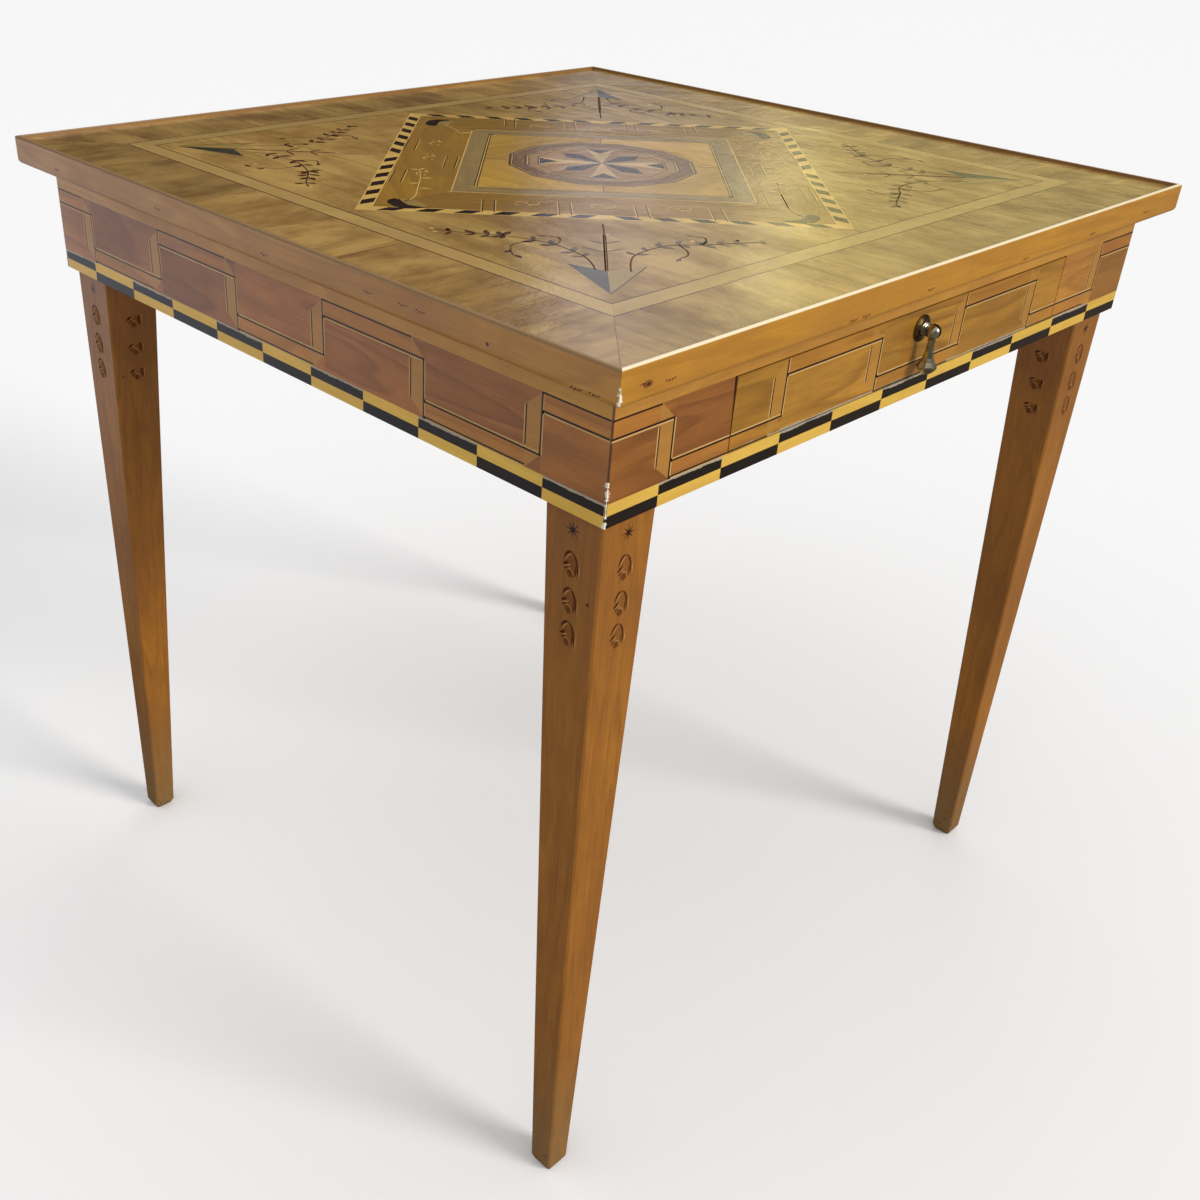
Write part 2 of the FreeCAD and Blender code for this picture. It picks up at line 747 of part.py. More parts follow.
def frieze_unit(side, start, pitch, upright):
    # a light strip and a light post with mitred ends round a panel; every second unit is upside down
    strip = measure("size.frieze_strip")
    post = measure("size.frieze_post")
    strip_mitre = measure("size.strip_mitre")
    post_mitre = measure("size.post_mitre")
    top = frieze_high - frieze_low

    def corners(points):
        return [(start + across, frieze_low + (up if upright else top - up)) for across, up in points]

    light = [
        tile(side, corners([(0, top - strip), (pitch, top - strip), (pitch - strip_mitre, top), (0, top)])),
        tile(side, corners([(pitch - post, top - strip), (pitch, top - strip), (pitch, 0),
                            (pitch - post, post_mitre)])),
    ]
    panel = tile(side, corners([(-strip_mitre, 0), (pitch, 0), (pitch - post, post_mitre),
                                (pitch - post, top - strip), (0, top - strip), (0, strip)]))
    return light, panel


def trimmed(solids, bounds):
    kept = []
    for solid in solids:
        kept += solid.common(bounds).Solids
    return kept


frieze_panels = []
frieze_strips = []
drawer_panels = []
drawer_strips = []
chequers = ([], [])
caps = []
for side, (start, along, inward, length) in apron_sides.items():
    pitch = length / frieze_unit_count
    strips = []
    panels = []
    for index in range(frieze_unit_count + 1):
        light, panel_tile = frieze_unit(side, (index - 0.5) * pitch, pitch, index % 2 == 0)
        strips += light
        panels.append(panel_tile)
    whole = tile_box(side, 0, frieze_low, length, frieze_high)
    if side == "front":
        left_end = measure("place.opening_left") + apron_x
        right_end = measure("place.opening_right") + apron_x
        gap = measure("size.drawer_gap")
        pull_place = FreeCAD.Vector(measure("place.pull_x"), -apron_y, measure("place.pull_height"))
        hole = Part.makeCylinder(measure("size.shank_radius + size.shank_play"), veneer, pull_place, to_back)
        drawer_face = tile_box(side, left_end + gap, frieze_low + gap, right_end - gap, frieze_high - gap)
        drawer_face = drawer_face.cut(hole)
        stile_faces = [tile_box(side, 0, frieze_low, left_end, frieze_high),
                       tile_box(side, right_end, frieze_low, length, frieze_high)]
        drawer_panels = trimmed(panels, drawer_face)
        drawer_strips = trimmed(strips, drawer_face)
        for stile_face in stile_faces:
            frieze_panels += trimmed(panels, stile_face)
            frieze_strips += trimmed(strips, stile_face)
    else:
        frieze_panels += trimmed(panels, whole)
        frieze_strips += trimmed(strips, whole)
    caps.append(tile_box(side, 0, frieze_high, length, measure("place.underside")))
    # two rows of chequers below, in opposite colours
    row = measure("size.chequer_row")
    short_side = side in ("left", "right")
    cuts = [length * part for part in (short_side_shares if short_side else long_side_shares)]
    low = measure("place.apron_foot")
    for index in range(len(cuts) - 1):
        for level in range(2):
            light_one = (index + level + short_side) % 2
            chequers[light_one].append(tile_box(side, cuts[index], low + row * level, cuts[index + 1],
                                                low + row * (level + 1)))
inlay("frieze_panels", frieze_panels)
inlay("frieze_strips", frieze_strips)
inlay("frieze_caps", caps)
inlay("chequers_dark", chequers[0])
inlay("chequers_light", chequers[1])
inlay("drawer_panels", drawer_panels)
inlay("drawer_strips", drawer_strips)

# Drawer: sides with dovetails at both ends. Local x is the distance behind the front's inner face.


def tails(face, reach):
    # outlines of the tails that stand out from a side's end, from its lower edge up
    loops = []
    for share in tail_shares:
        middle = "place.bottom_top + place.tail_zone * %g" % share
        loops.append([
            (face, middle + " - place.tail_root / 2"),
            (reach, middle + " - place.tail_tip / 2"),
            (reach, middle + " + place.tail_tip / 2"),
            (face, middle + " + place.tail_root / 2"),
        ])
    return loops


def side_outline():
    front_tails = tails("0", "-place.tail_depth")
    back_face = "place.side_length - size.back_thickness"
    back_tails = tails(back_face, "place.side_length")
    climb = [point for loop in back_tails for point in loop]
    fall = [point for loop in reversed(front_tails) for point in reversed(loop)]
    return [("0", "0"), (back_face, "0")] + climb + \
        [(back_face, "place.drawer_height"), ("0", "place.drawer_height")] + fall


for label, x, groove_face in (
    ("drawer_side_left", "place.drawer_left", "size.side_thickness - size.groove_depth"),
    ("drawer_side_right", "place.drawer_right - size.side_thickness", "0"),
):
    body = new_body(label)
    pad(body, outline(body, label + "_outline", "YZ_Plane", [side_outline()]), "size.side_thickness")
    groove = outline(body, label + "_groove", "YZ_Plane",
                     [rectangle("-size.overrun", "size.bottom_rise", "place.side_length + size.overrun",
                                "place.bottom_top")], groove_face)
    cut(body, groove, "size.groove_depth", True)
    put(body, (x, "place.front_inside", "place.drawer_low"))
    keep(body, label)

# Drawer front: sockets for the tails, a groove for the bottom and a hole for the pull's shank

body = new_body("front_board")
face = outline(body, "front_face", "XZ_Plane",
               [rectangle("0", "0", "place.drawer_width", "place.drawer_height")])
pad(body, face, "size.front_thickness")
for hand, offset in (("left", "0"), ("right", "place.drawer_width - size.side_thickness")):
    sockets = outline(body, "sockets_" + hand, "YZ_Plane", tails("0", "-place.tail_depth"), offset)
    cut(body, sockets, "size.side_thickness", True)
groove = outline(body, "front_groove", "YZ_Plane",
                 [rectangle("-size.groove_depth", "size.bottom_rise", "size.overrun", "place.bottom_top")],
                 "size.side_thickness - size.groove_depth")
cut(body, groove, "place.drawer_width - 2 * (size.side_thickness - size.groove_depth)", True)
put(body, ("place.drawer_left", "place.front_inside", "place.drawer_low"))
shank_hole = doc.addObject("Part::Cylinder", "shank_hole")
bore = "size.shank_radius + size.shank_play"
bind(shank_hole, {"Radius": bore, "Height": "size.front_thickness + 2 * size.overrun"})
out_of_front(shank_hole, "-(size.veneer + size.front_thickness + size.overrun)")
keep(joined("drawer_front_bored", "Part::Cut", body, shank_hole), "drawer_front")

# Drawer back, cut round the tails, and the bottom in its grooves under the back

body = new_body("drawer_back")
face = outline(body, "back_face", "XZ_Plane",
               [rectangle("0", "place.bottom_top", "place.drawer_width", "place.drawer_height")])
pad(body, face, "size.back_thickness", True)
for hand, offset in (("left", "0"), ("right", "place.drawer_width - size.side_thickness")):
    sockets = outline(body, "back_sockets_" + hand, "YZ_Plane", tails("0", "size.back_thickness"), offset)
    cut(body, sockets, "size.side_thickness", True)
put(body, ("place.drawer_left", "place.drawer_end - size.back_thickness", "place.drawer_low"))
keep(body, "drawer_back")

bottom_in = "(size.side_thickness - size.groove_depth)"
bottom_length = "place.side_length - size.back_thickness + size.groove_depth"
keep(box("bottom_board",
         ("place.drawer_left + " + bottom_in, "place.front_inside - size.groove_depth",
          "place.drawer_low + size.bottom_rise"),
         ("place.drawer_width - 2 * " + bottom_in, bottom_length, "size.bottom_thickness")), "drawer_bottom")

# Drop pull: stepped rosette, turned post with a slotted ball, nut, hinge pin and drop

rosette_step_shares = ((0.84, 0.5), (0.7, 1))
body = new_body("pull_rosette")
steps = [("size.rosette_radius * %g" % out,
          "size.rosette_rim + (size.rosette_thickness - size.rosette_rim) * %g" % up)
         for out, up in rosette_step_shares]
rim = [(bore, "0"), ("size.rosette_radius", "0"), ("size.rosette_radius", "size.rosette_rim")]
profile = outline(body, "rosette_profile", "XZ_Plane", [rim + steps + [(bore, "size.rosette_thickness")]])
spun(body, profile)
out_of_front(body, "0")
keep(body, "pull_rosette")

neck_shares = ((1, 0), (1, 0.16), (0.45, 0.22), (0.75, 0.34), (0.2, 0.42), (0.5, 0.56), (0, 0.62), (0, 1))
body = new_body("post_turning")
shank_end = "-(size.front_thickness + size.veneer + size.nut_thickness + size.shank_tail)"
neck = [("size.neck_radius + (size.collar_radius - size.neck_radius) * %g" % out,
         "size.rosette_thickness + (size.ball_reach - size.rosette_thickness) * %g" % up)
        for out, up in neck_shares]
shank = [("0", shank_end), ("size.shank_radius", shank_end), ("size.shank_radius", "size.rosette_thickness")]
profile = outline(body, "post_profile", "XZ_Plane", [shank + neck + [("0", "size.ball_reach")]])
spun(body, profile)
ball = body.newObject("PartDesign::AdditiveSphere", "post_ball")
ball.setExpression("Radius", "size.ball_radius")
ball.AttachmentSupport = [([item for item in body.Origin.OriginFeatures if item.Role == "XY_Plane"][0], "")]
ball.MapMode = "FlatFace"
ball.setExpression("AttachmentOffset.Base.z", "size.ball_reach")
doc.recompute()
slot_half = "(size.tongue_thickness / 2 + size.slot_play)"
slot_back = "size.ball_reach - size.tongue_radius - size.slot_play"
past_ball = "size.ball_radius + size.overrun"
slot = outline(body, "post_slot", "XZ_Plane",
               [rectangle("-" + slot_half, slot_back, slot_half, "size.ball_reach + " + past_ball)],
               "-(%s)" % past_ball)
cut(body, slot, "2 * (%s)" % past_ball, True)
out_of_front(body, "0")
pin_hole = doc.addObject("Part::Cylinder", "pin_hole")
bind(pin_hole, {"Radius": "size.pin_radius + size.pin_fit", "Height": "2 * (%s)" % past_ball})
across_ball(pin_hole, past_ball)
keep(joined("pull_post_bored", "Part::Cut", body, pin_hole), "pull_post")

pin = doc.addObject("Part::Cylinder", "hinge_pin")
bind(pin, {"Radius": "size.pin_radius", "Height": "2 * size.ball_radius"})
across_ball(pin, "size.ball_radius")
keep(pin, "pull_pin")

nut = doc.addObject("Part::Prism", "nut_block")
nut.Polygon = 4
bind(nut, {"Circumradius": "size.nut_radius", "Height": "size.nut_thickness"})
nut_bore = doc.addObject("Part::Cylinder", "nut_bore")
bind(nut_bore, {"Radius": bore, "Height": "size.nut_thickness + 2 * size.overrun"})
for item, reach in ((nut, "-(size.front_thickness + size.veneer + size.nut_thickness)"),
                    (nut_bore, "-(size.front_thickness + size.veneer + size.nut_thickness + size.overrun)")):
    out_of_front(item, reach)
keep(joined("pull_nut_bored", "Part::Cut", nut, nut_bore), "pull_nut")

# The drop: an eight-sided bell below a flat tongue that turns in the ball's slot

# how far down the drop, and how far from its neck's radius to its bell's
drop_shares = ((0, 0.09), (0.04, 0.09), (0.08, 0), (0.34, 0.11), (0.52, 0.3), (0.64, 0.56), (0.75, 0.94),
               (0.79, 1), (0.84, 0.94), (0.93, 0.62), (1, 0.2))
tongue_end = measure("size.ball_radius + 2 * size.slot_play")
drop_reach = measure("size.drop_length") - tongue_end
drop_neck = measure("size.drop_neck")
drop_bell = measure("size.drop_bell")
pivot = FreeCAD.Vector(measure("place.pull_x"), -apron_y - measure("size.ball_reach"),
                       measure("place.pull_height"))
rings = []
for down, swell in drop_shares:
    radius = drop_neck + (drop_bell - drop_neck) * swell
    height = -tongue_end - drop_reach * down
    turns = [math.radians(360 * (index + 0.5) / drop_sides) for index in range(drop_sides)]
    rings.append([FreeCAD.Vector(radius * math.cos(turn), radius * math.sin(turn), height) for turn in turns])
facets = [rings[0], rings[-1][::-1]]
for above, below in zip(rings, rings[1:]):
    for index in range(drop_sides):
        facets.append([above[index - 1], below[index - 1], below[index], above[index]])
bell = Part.makeSolid(Part.makeShell([Part.Face(Part.makePolygon(facet + facet[:1])) for facet in facets]))
thick = measure("size.tongue_thickness")
eye = Part.makeCylinder(measure("size.tongue_radius"), thick, FreeCAD.Vector(-thick / 2, 0, 0), to_right)
stem_wide = 2 * drop_neck * math.cos(math.pi / drop_sides)
stem = Part.makeBox(thick, stem_wide, tongue_end, FreeCAD.Vector(-thick / 2, -stem_wide / 2, -tongue_end))
eye_hole = Part.makeCylinder(measure("size.pin_radius + size.pin_play"), 2 * thick,
                             FreeCAD.Vector(-thick, 0, 0), to_right)
drop = doc.addObject("Part::Feature", "drop")
drop.Shape = bell.fuse([eye, stem]).cut(eye_hole).removeSplitter()
drop.Placement = FreeCAD.Placement(pivot, FreeCAD.Rotation())
keep(drop, "pull_drop")

# Check every piece and write it

doc.recompute()
for item in doc.Objects:
    if "Invalid" in item.State or "Error" in item.State:
        raise RuntimeError("%s did not build" % item.Label)
for item in nodes:
    shape = item.Shape
    if shape.isNull() or not shape.isValid() or not shape.Solids:
        raise RuntimeError("%s has no valid solid" % item.Label)
    for solid in shape.Solids:
        if not solid.Volume > 0:
            raise RuntimeError("%s has a solid that is inside out" % item.Label)
os.makedirs("parts", exist_ok=True)
for item in nodes:
    item.Shape.exportStep("parts/%s.step" % item.Label)
print("%d nodes, %d solids" % (len(nodes), sum(len(item.Shape.Solids) for item in nodes)))
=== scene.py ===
from functools import partial
from math import atan2, cos, hypot, pi, radians, sin
import bpy
from mathutils import Euler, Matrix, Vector


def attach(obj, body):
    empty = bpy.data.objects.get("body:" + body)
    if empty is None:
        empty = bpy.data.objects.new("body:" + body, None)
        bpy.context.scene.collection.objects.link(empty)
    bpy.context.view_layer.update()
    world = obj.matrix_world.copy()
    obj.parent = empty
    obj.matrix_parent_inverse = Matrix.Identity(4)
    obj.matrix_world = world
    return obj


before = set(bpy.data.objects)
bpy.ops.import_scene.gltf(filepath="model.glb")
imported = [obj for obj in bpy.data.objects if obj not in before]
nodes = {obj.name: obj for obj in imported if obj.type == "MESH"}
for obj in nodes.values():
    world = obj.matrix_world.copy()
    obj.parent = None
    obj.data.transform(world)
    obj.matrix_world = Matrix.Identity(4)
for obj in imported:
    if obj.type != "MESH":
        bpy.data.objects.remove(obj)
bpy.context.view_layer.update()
scene = bpy.context.scene
mm = 0.001
print("frame:", len(nodes), "nodes")

# Camera

view = {
    "place": (-0.9314, -0.8375, 1.0476),
    "turn": (59.2065, -2.227, -43.6652),
    "lens": 39.353,
    "sensor": 36,
    "shift": 0.075,  # the table stands a little right of the lens axis
}
camera = bpy.data.objects.new("camera", bpy.data.cameras.new("camera"))
camera.location = view["place"]
camera.rotation_euler = [radians(angle) for angle in view["turn"]]
camera.data.lens = view["lens"]
camera.data.sensor_width = view["sensor"]
camera.data.shift_x = view["shift"]
scene.collection.objects.link(camera)
scene.camera = camera
print("camera set")


def linear(hexCode):
    channels = [int(hexCode[i:i + 2], 16) / 255 for i in (1, 3, 5)]
    return tuple(c / 12.92 if c <= 0.04045 else ((c + 0.055) / 1.055) ** 2.4 for c in channels) + (1,)


def addNode(tree, kind, inputs=(), **settings):
    node = tree.nodes.new(kind)
    for name, value in settings.items():
        setattr(node, name, value)
    # inputs by name or number, or else in the order of the sockets
    for socket, value in inputs.items() if isinstance(inputs, dict) else enumerate(inputs):
        if isinstance(value, bpy.types.Node):
            value = value.outputs[0]  # a node stands for its first output
        if isinstance(value, bpy.types.NodeSocket):
            tree.links.new(value, node.inputs[socket])
        else:
            node.inputs[socket].default_value = value
    return node


def newMaterial(name):
    material = bpy.data.materials.new(name)
    material.use_nodes = True
    material.node_tree.nodes.clear()
    return material, partial(addNode, material.node_tree)


# Woods. Each lay says which way the grain runs (X of the result) and which piece of wood a place is on.

lays = {
    "left to right": {"turn": (0, 0, 0)},
    "front to back": {"turn": (0, 0, 90)},
    "upright": {"turn": (0, 90, 0)},
    "round the table": {"ratio": 1, "offset": 12 * mm},  # sides and ends change over on the mitres
    "across the border": {"ratio": 1, "offset": 12 * mm, "across": True},
    "in quarters": {"ratio": 1.043, "offset": 0},
    "along the diamond": {"turn": (0, 0, 46.2)},
    "round the medallion": {"sides": 12},
}


def layGrain(add, place, wood):
    lay = lays[wood["lay"]]
    x, y, z = add("ShaderNodeSeparateXYZ", (place,)).outputs
    signs = add("ShaderNodeVectorMath", (place,), operation="SIGN")
    if "ratio" in lay:
        awayX, awayY = [add("ShaderNodeMath", (part,), operation="ABSOLUTE") for part in (x, y)]
        limit = add("ShaderNodeMath", (awayY, lay["ratio"], lay["offset"]), operation="MULTIPLY_ADD")
        atSide = add("ShaderNodeMath", (awayX, limit), operation="GREATER_THAN")
        swapped = add("ShaderNodeCombineXYZ", {"X": y, "Y": x, "Z": z}).outputs[0]
        ways = (swapped, place) if "across" in lay else (place, swapped)
        # for front and back, then the sides: the grain, what numbers the side, and which way is right on it
        choices = (ways, ((0, 20, 0), (50, 0, 0)), ((0, -1, 0), (1, 0, 0)))
        grain, number, rightward = [
            add("ShaderNodeMix", {0: atSide, 4: front, 5: side}, data_type="VECTOR").outputs[1]
            for front, side in choices]
        side, hand = [add("ShaderNodeVectorMath", (signs, way), operation="DOT_PRODUCT").outputs["Value"]
                      for way in (number, rightward)]
        along = add("ShaderNodeSeparateXYZ", (grain,)).outputs["Y" if "across" in lay else "X"]
        onward = add("ShaderNodeMath", (along, hand), operation="MULTIPLY")
        # the unit of the frieze along that side
        perFront, perSide = [1 / (length * mm) for length in wood["pieces"]]
        pitch = add("ShaderNodeMapRange", {"Value": atSide, "To Min": perFront, "To Max": perSide})
        count = add("ShaderNodeMath", (onward, pitch, 0.5), operation="MULTIPLY_ADD")
        unit = add("ShaderNodeMath", (count,), operation="FLOOR")
        return grain, add("ShaderNodeMath", (side, unit), operation="ADD"), count
    if "sides" in lay:
        step = 2 * pi / lay["sides"]
        angle = add("ShaderNodeMath", (y, x), operation="ARCTAN2")
        count = add("ShaderNodeMath", (angle, 1 / step), operation="MULTIPLY")
        whole = add("ShaderNodeMath", (count,), operation="FLOOR")
        back = add("ShaderNodeMath", (whole, -step, (pi - step) / 2), operation="MULTIPLY_ADD")
        turned = add("ShaderNodeVectorRotate", {"Vector": place, "Angle": back}, rotation_type="Z_AXIS")
        return turned, whole, None
    corner = add("ShaderNodeVectorMath", (signs, (1, 3, 0)), operation="DOT_PRODUCT")
    if wood["lay"] == "along the diamond":
        # the four sides are mirror images
        place = add("ShaderNodeVectorMath", (place,), operation="ABSOLUTE")
    turned = add("ShaderNodeMapping", {"Vector": place, "Rotation": [radians(a) for a in lay["turn"]]})
    return turned, corner.outputs["Value"], None


# what shows where the wood is worn
wear = {"hole": "#2A1A0E", "ground": "#F1EADB", "fray": "#A79D8B", "scuff": "#7D6540", "dirt": "#2A1E12"}


def woodMaterial(name, wood):
    material, add = newMaterial(name)
    place = add("ShaderNodeTexCoord").outputs["Object"]
    x, y, z = add("ShaderNodeSeparateXYZ", (place,)).outputs
    grain, piece, run = layGrain(add, place, wood)
    # every piece is cut from another place in the wood and has its own tone
    chance = add("ShaderNodeTexWhiteNoise", {"W": piece}, noise_dimensions="1D").outputs
    cut = add("ShaderNodeVectorMath", (chance["Color"], (2, 2, 2), grain), operation="MULTIPLY_ADD")
    # drawn out along the grain: a slow noise, fibres and pores, cloudy patches of old polish
    noises = []
    for draw, size, detail, roughness in ((wood["draw"], "figure", 1.5, 0.4), (0.04, "fibre", 4, 0.7),
                                          (0.65, "patch", 5, 0.65)):
        drawn = add("ShaderNodeMapping", {"Vector": cut, "Scale": (draw, 1, 1)})
        noises.append(add("ShaderNodeTexNoise", {
            "Vector": drawn, "Scale": 1 / (wood[size] * mm), "Detail": detail, "Roughness": roughness}))
    figure, fibre, blotch = noises
    fibres = add("ShaderNodeMapRange", {"Value": fibre, "From Min": 0.35, "From Max": 0.75})
    patches = add("ShaderNodeMapRange", {"Value": blotch, "From Min": 0.4, "From Max": 0.66})
    # growth lines are contours of the slow noise
    contours = add("ShaderNodeMath", (figure, wood["lines"]), operation="MULTIPLY")
    phase = add("ShaderNodeMath", (contours,), operation="FRACT")
    ring = add("ShaderNodeValToRGB", {"Fac": phase})
    ramp = ring.color_ramp.elements
    ramp[0].color = ramp[1].color = (0, 0, 0, 1)
    ramp.new(0.5).color = (0.3, 0.3, 0.3, 1)
    ramp.new(0.86).color = (1, 1, 1, 1)
    colour, late, aged = [linear(code) for code in wood["colours"]]
    for share, depth, shade in ((ring, "ringDepth", late), (patches, "patchDepth", aged),
                                (fibres, "fibreDepth", late)):
        part = add("ShaderNodeMath", (share, wood[depth]), operation="MULTIPLY")
        colour = add("ShaderNodeMix", {0: part, 6: colour, 7: shade}, data_type="RGBA").outputs[2]
    tone = add("ShaderNodeMapRange", {
        "Value": chance["Value"], "To Min": 1 - wood["tones"], "To Max": 1 + wood["tones"]})
    colour = add("ShaderNodeHueSaturation", {"Color": colour, "Value": tone}).outputs[0]
    if "golden" in wood:
        # the panels at the right end of the front are yellower
        golden = wood["golden"]
        toRight = add("ShaderNodeMath", (x, golden["rightOf"] * mm), operation="GREATER_THAN")
        toFront = add("ShaderNodeMath", (y, golden["before"] * mm), operation="LESS_THAN")
        both = add("ShaderNodeMath", (toRight, toFront), operation="MULTIPLY")
        colour = add("ShaderNodeMix", {0: both, 6: colour, 7: (*golden["tint"], 1)}, data_type="RGBA",
                     blend_type="MULTIPLY").outputs[2]
    layers = []  # two shares whose product shows, and a colour, from the lowest layer up
    if "posts" in wood:
        # the upright piece at the right of every unit is of a yellower cut
        posts = wood["posts"]
        within = add("ShaderNodeMath", (run,), operation="FRACT")
        upright = add("ShaderNodeMath", (within, posts["from"]), operation="GREATER_THAN")
        layers.append((upright, posts["share"], posts["colour"]))
    if "holes" in wood:
        # worm holes: only some cells of a coarse cell pattern have one
        cell = wood["holes"] * mm
        worms = add("ShaderNodeTexVoronoi", {"Vector": place, "Scale": 1 / cell}).outputs
        pit = add("ShaderNodeMapRange", {
            "Value": worms["Distance"], "From Min": 0.9 * mm / cell, "From Max": 1.9 * mm / cell, "To Min": 1,
            "To Max": 0})
        cells = add("ShaderNodeSeparateXYZ", (worms["Color"],))
        chosen = add("ShaderNodeMath", (cells.outputs["X"], 0.35), operation="GREATER_THAN")
        layers.append((pit, chosen, wear["hole"]))
    if "chipped" in wood:
        # the near corner's arris is chipped down to the white ground, and dark with dirt above that
        line = wood["chipped"]
        corner = [v * mm for v in line["corner"]] + [0]
        spot = add("ShaderNodeVectorMath", (place, (1, 1, 0)), operation="MULTIPLY")
        away = add("ShaderNodeVectorMath", (spot, corner), operation="DISTANCE").outputs["Value"]
        near = add("ShaderNodeMapRange", {
            "Value": away, "From Max": line["reach"] * mm, "To Min": 1, "To Max": 0})
        low = add("ShaderNodeMapRange", {
            "Value": z, "From Min": line["from"] * mm, "From Max": line["to"] * mm, "To Min": 0.62,
            "To Max": 0})
        ragged = add("ShaderNodeTexNoise", {
            "Vector": place, "Scale": 1 / (3 * mm), "Detail": 3, "Roughness": 0.7})
        broken = add("ShaderNodeMath", (near, low, ragged), operation="MULTIPLY_ADD")
        if "dirt" in line:
            grime = add("ShaderNodeMapRange", {
                "Value": away, "From Min": 0.7 * mm, "From Max": 1.5 * mm, "To Min": 0.85, "To Max": 0})
            layers.append((grime, 1, line["dirt"]))
        bare = add("ShaderNodeMapRange", {"Value": broken, "From Min": 0.98, "From Max": 1.03})
        layers.append((bare, 1, wear["ground"]))
    if "paintedCrestLight" in wood:
        # painted light on the top of the lip: a painted highlight on the front, and painted shade on the
        # other sides
        height = wood["paintedCrestLight"]["from"]
        crest = add("ShaderNodeMapRange", {
            "Value": z, "From Min": height * mm, "From Max": (height + 0.6) * mm, "To Max": 0.9})
        layers.append((crest, 1, wood["paintedCrestLight"]["colour"]))
    if "frayed" in wood:
        # the edge at this height is broken and grey
        rim = add("ShaderNodeMath", (z, wood["frayed"] * mm), operation="SUBTRACT")
        off = add("ShaderNodeMath", (rim,), operation="ABSOLUTE")
        fringe = add("ShaderNodeMapRange", {"Value": off, "From Max": 3 * mm, "To Min": 0.62, "To Max": 0})
        torn = add("ShaderNodeTexNoise", {
            "Vector": place, "Scale": 1 / (22 * mm), "Detail": 5, "Roughness": 0.75})
        frays = add("ShaderNodeMath", (fringe, torn), operation="ADD")
        shown = add("ShaderNodeMapRange", {"Value": frays, "From Min": 0.82, "From Max": 0.93})
        layers.append((shown, 1, wear["fray"]))
    if "worn" in wood:
        # the end near the floor is scuffed and greyed, with dents that hold dirt
        low = add("ShaderNodeMapRange", {"Value": z, "From Max": wood["worn"] * mm, "To Min": 1, "To Max": 0})
        scuffs = add("ShaderNodeTexNoise", {"Vector": place, "Scale": 1 / (9 * mm), "Detail": 4})
        rubbed = add("ShaderNodeMapRange", {
            "Value": scuffs, "From Min": 0.35, "From Max": 0.65, "To Min": 0.45})
        dents = add("ShaderNodeTexVoronoi", {"Vector": place, "Scale": 1 / (8 * mm)})
        dirt = add("ShaderNodeMapRange", {
            "Value": dents, "From Min": 0.08, "From Max": 0.2, "To Min": 1, "To Max": 0})
        deep = add("ShaderNodeMath", (low, 3), operation="POWER")
        layers += [(low, rubbed, wear["scuff"]), (dirt, deep, wear["dirt"])]
    for share, within, code in layers:
        part = add("ShaderNodeMath", (share, within), operation="MULTIPLY")
        colour = add("ShaderNodeMix", {0: part, 6: colour, 7: linear(code)}, data_type="RGBA").outputs[2]
    rough = add("ShaderNodeMapRange", {
        "Value": patches, "To Min": wood["rough"], "To Max": wood["rough"] + 0.1})
    swell = {}
    if "wave" in wood:
        # the old veneer is not quite flat, and mirrors unsteadily
        swell["Normal"] = add("ShaderNodeBump", {
            "Strength": 1, "Distance": wood["wave"] * mm, "Height": blotch})
    relief = add("ShaderNodeBump", {"Strength": 0.1, "Distance": 0.2 * mm, "Height": fibres, **swell})
    shader = add("ShaderNodeBsdfPrincipled", {
        "Base Color": colour, "Roughness": rough, "IOR": 1.45, "Specular IOR Level": wood["shine"],
        "Coat Weight": wood["coat"], "Coat Roughness": 0.2, "Normal": relief})
    add("ShaderNodeOutputMaterial", {"Surface": shader})
    return material


# millimetres: figure is the size of the flame pattern, fibre and patch those of pores and polish, pieces the
# length of a piece on the front and on the sides; tones is how far pieces differ, and colours are those of
# early wood, late wood and aged polish
plainWood = {"lay": "left to right", "draw": 0.12, "figure": 70, "lines": 8, "ringDepth": 0.35, "fibre": 1.6,
             "fibreDepth": 0.35, "patch": 90, "patchDepth": 0.75, "pieces": (2000, 2000), "tones": 0.06,
             "rough": 0.34, "shine": 0.25, "coat": 0.35}
topVeneer = {**plainWood, "rough": 0.12, "shine": 0.5, "patch": 55, "patchDepth": 0.9, "wave": 1, "coat": 0}
cornerChips = {"corner": (-364.5, -352.5), "reach": 6, "from": 692, "to": 702, "dirt": "#3A2010"}
edgeChips = {"corner": (-388, -376), "reach": 7, "from": 766, "to": 777}
cherryBoard = {**plainWood, "lay": "round the table", "figure": 40, "holes": 34}
friezeVeneer = {**plainWood, "lay": "round the table", "figure": 45, "ringDepth": 0.6, "fibreDepth": 0.45,
                "pieces": (121.5, 117), "chipped": cornerChips}
paleInlay = {**topVeneer, "ringDepth": 0.15}
darkInlay = {**topVeneer, "ringDepth": 0.2}
diamondVeneer = {**topVeneer, "lay": "along the diamond", "tones": 0.08}
plumInlay = {**plainWood, "shine": 0.1, "coat": 0}
goldenPosts = {"from": 0.87, "share": 0.65, "colour": "#AE7E36"}
bareWood = {"colours": ("#B08A55", "#80603A", "#947045"), "rough": 0.6, "coat": 0}
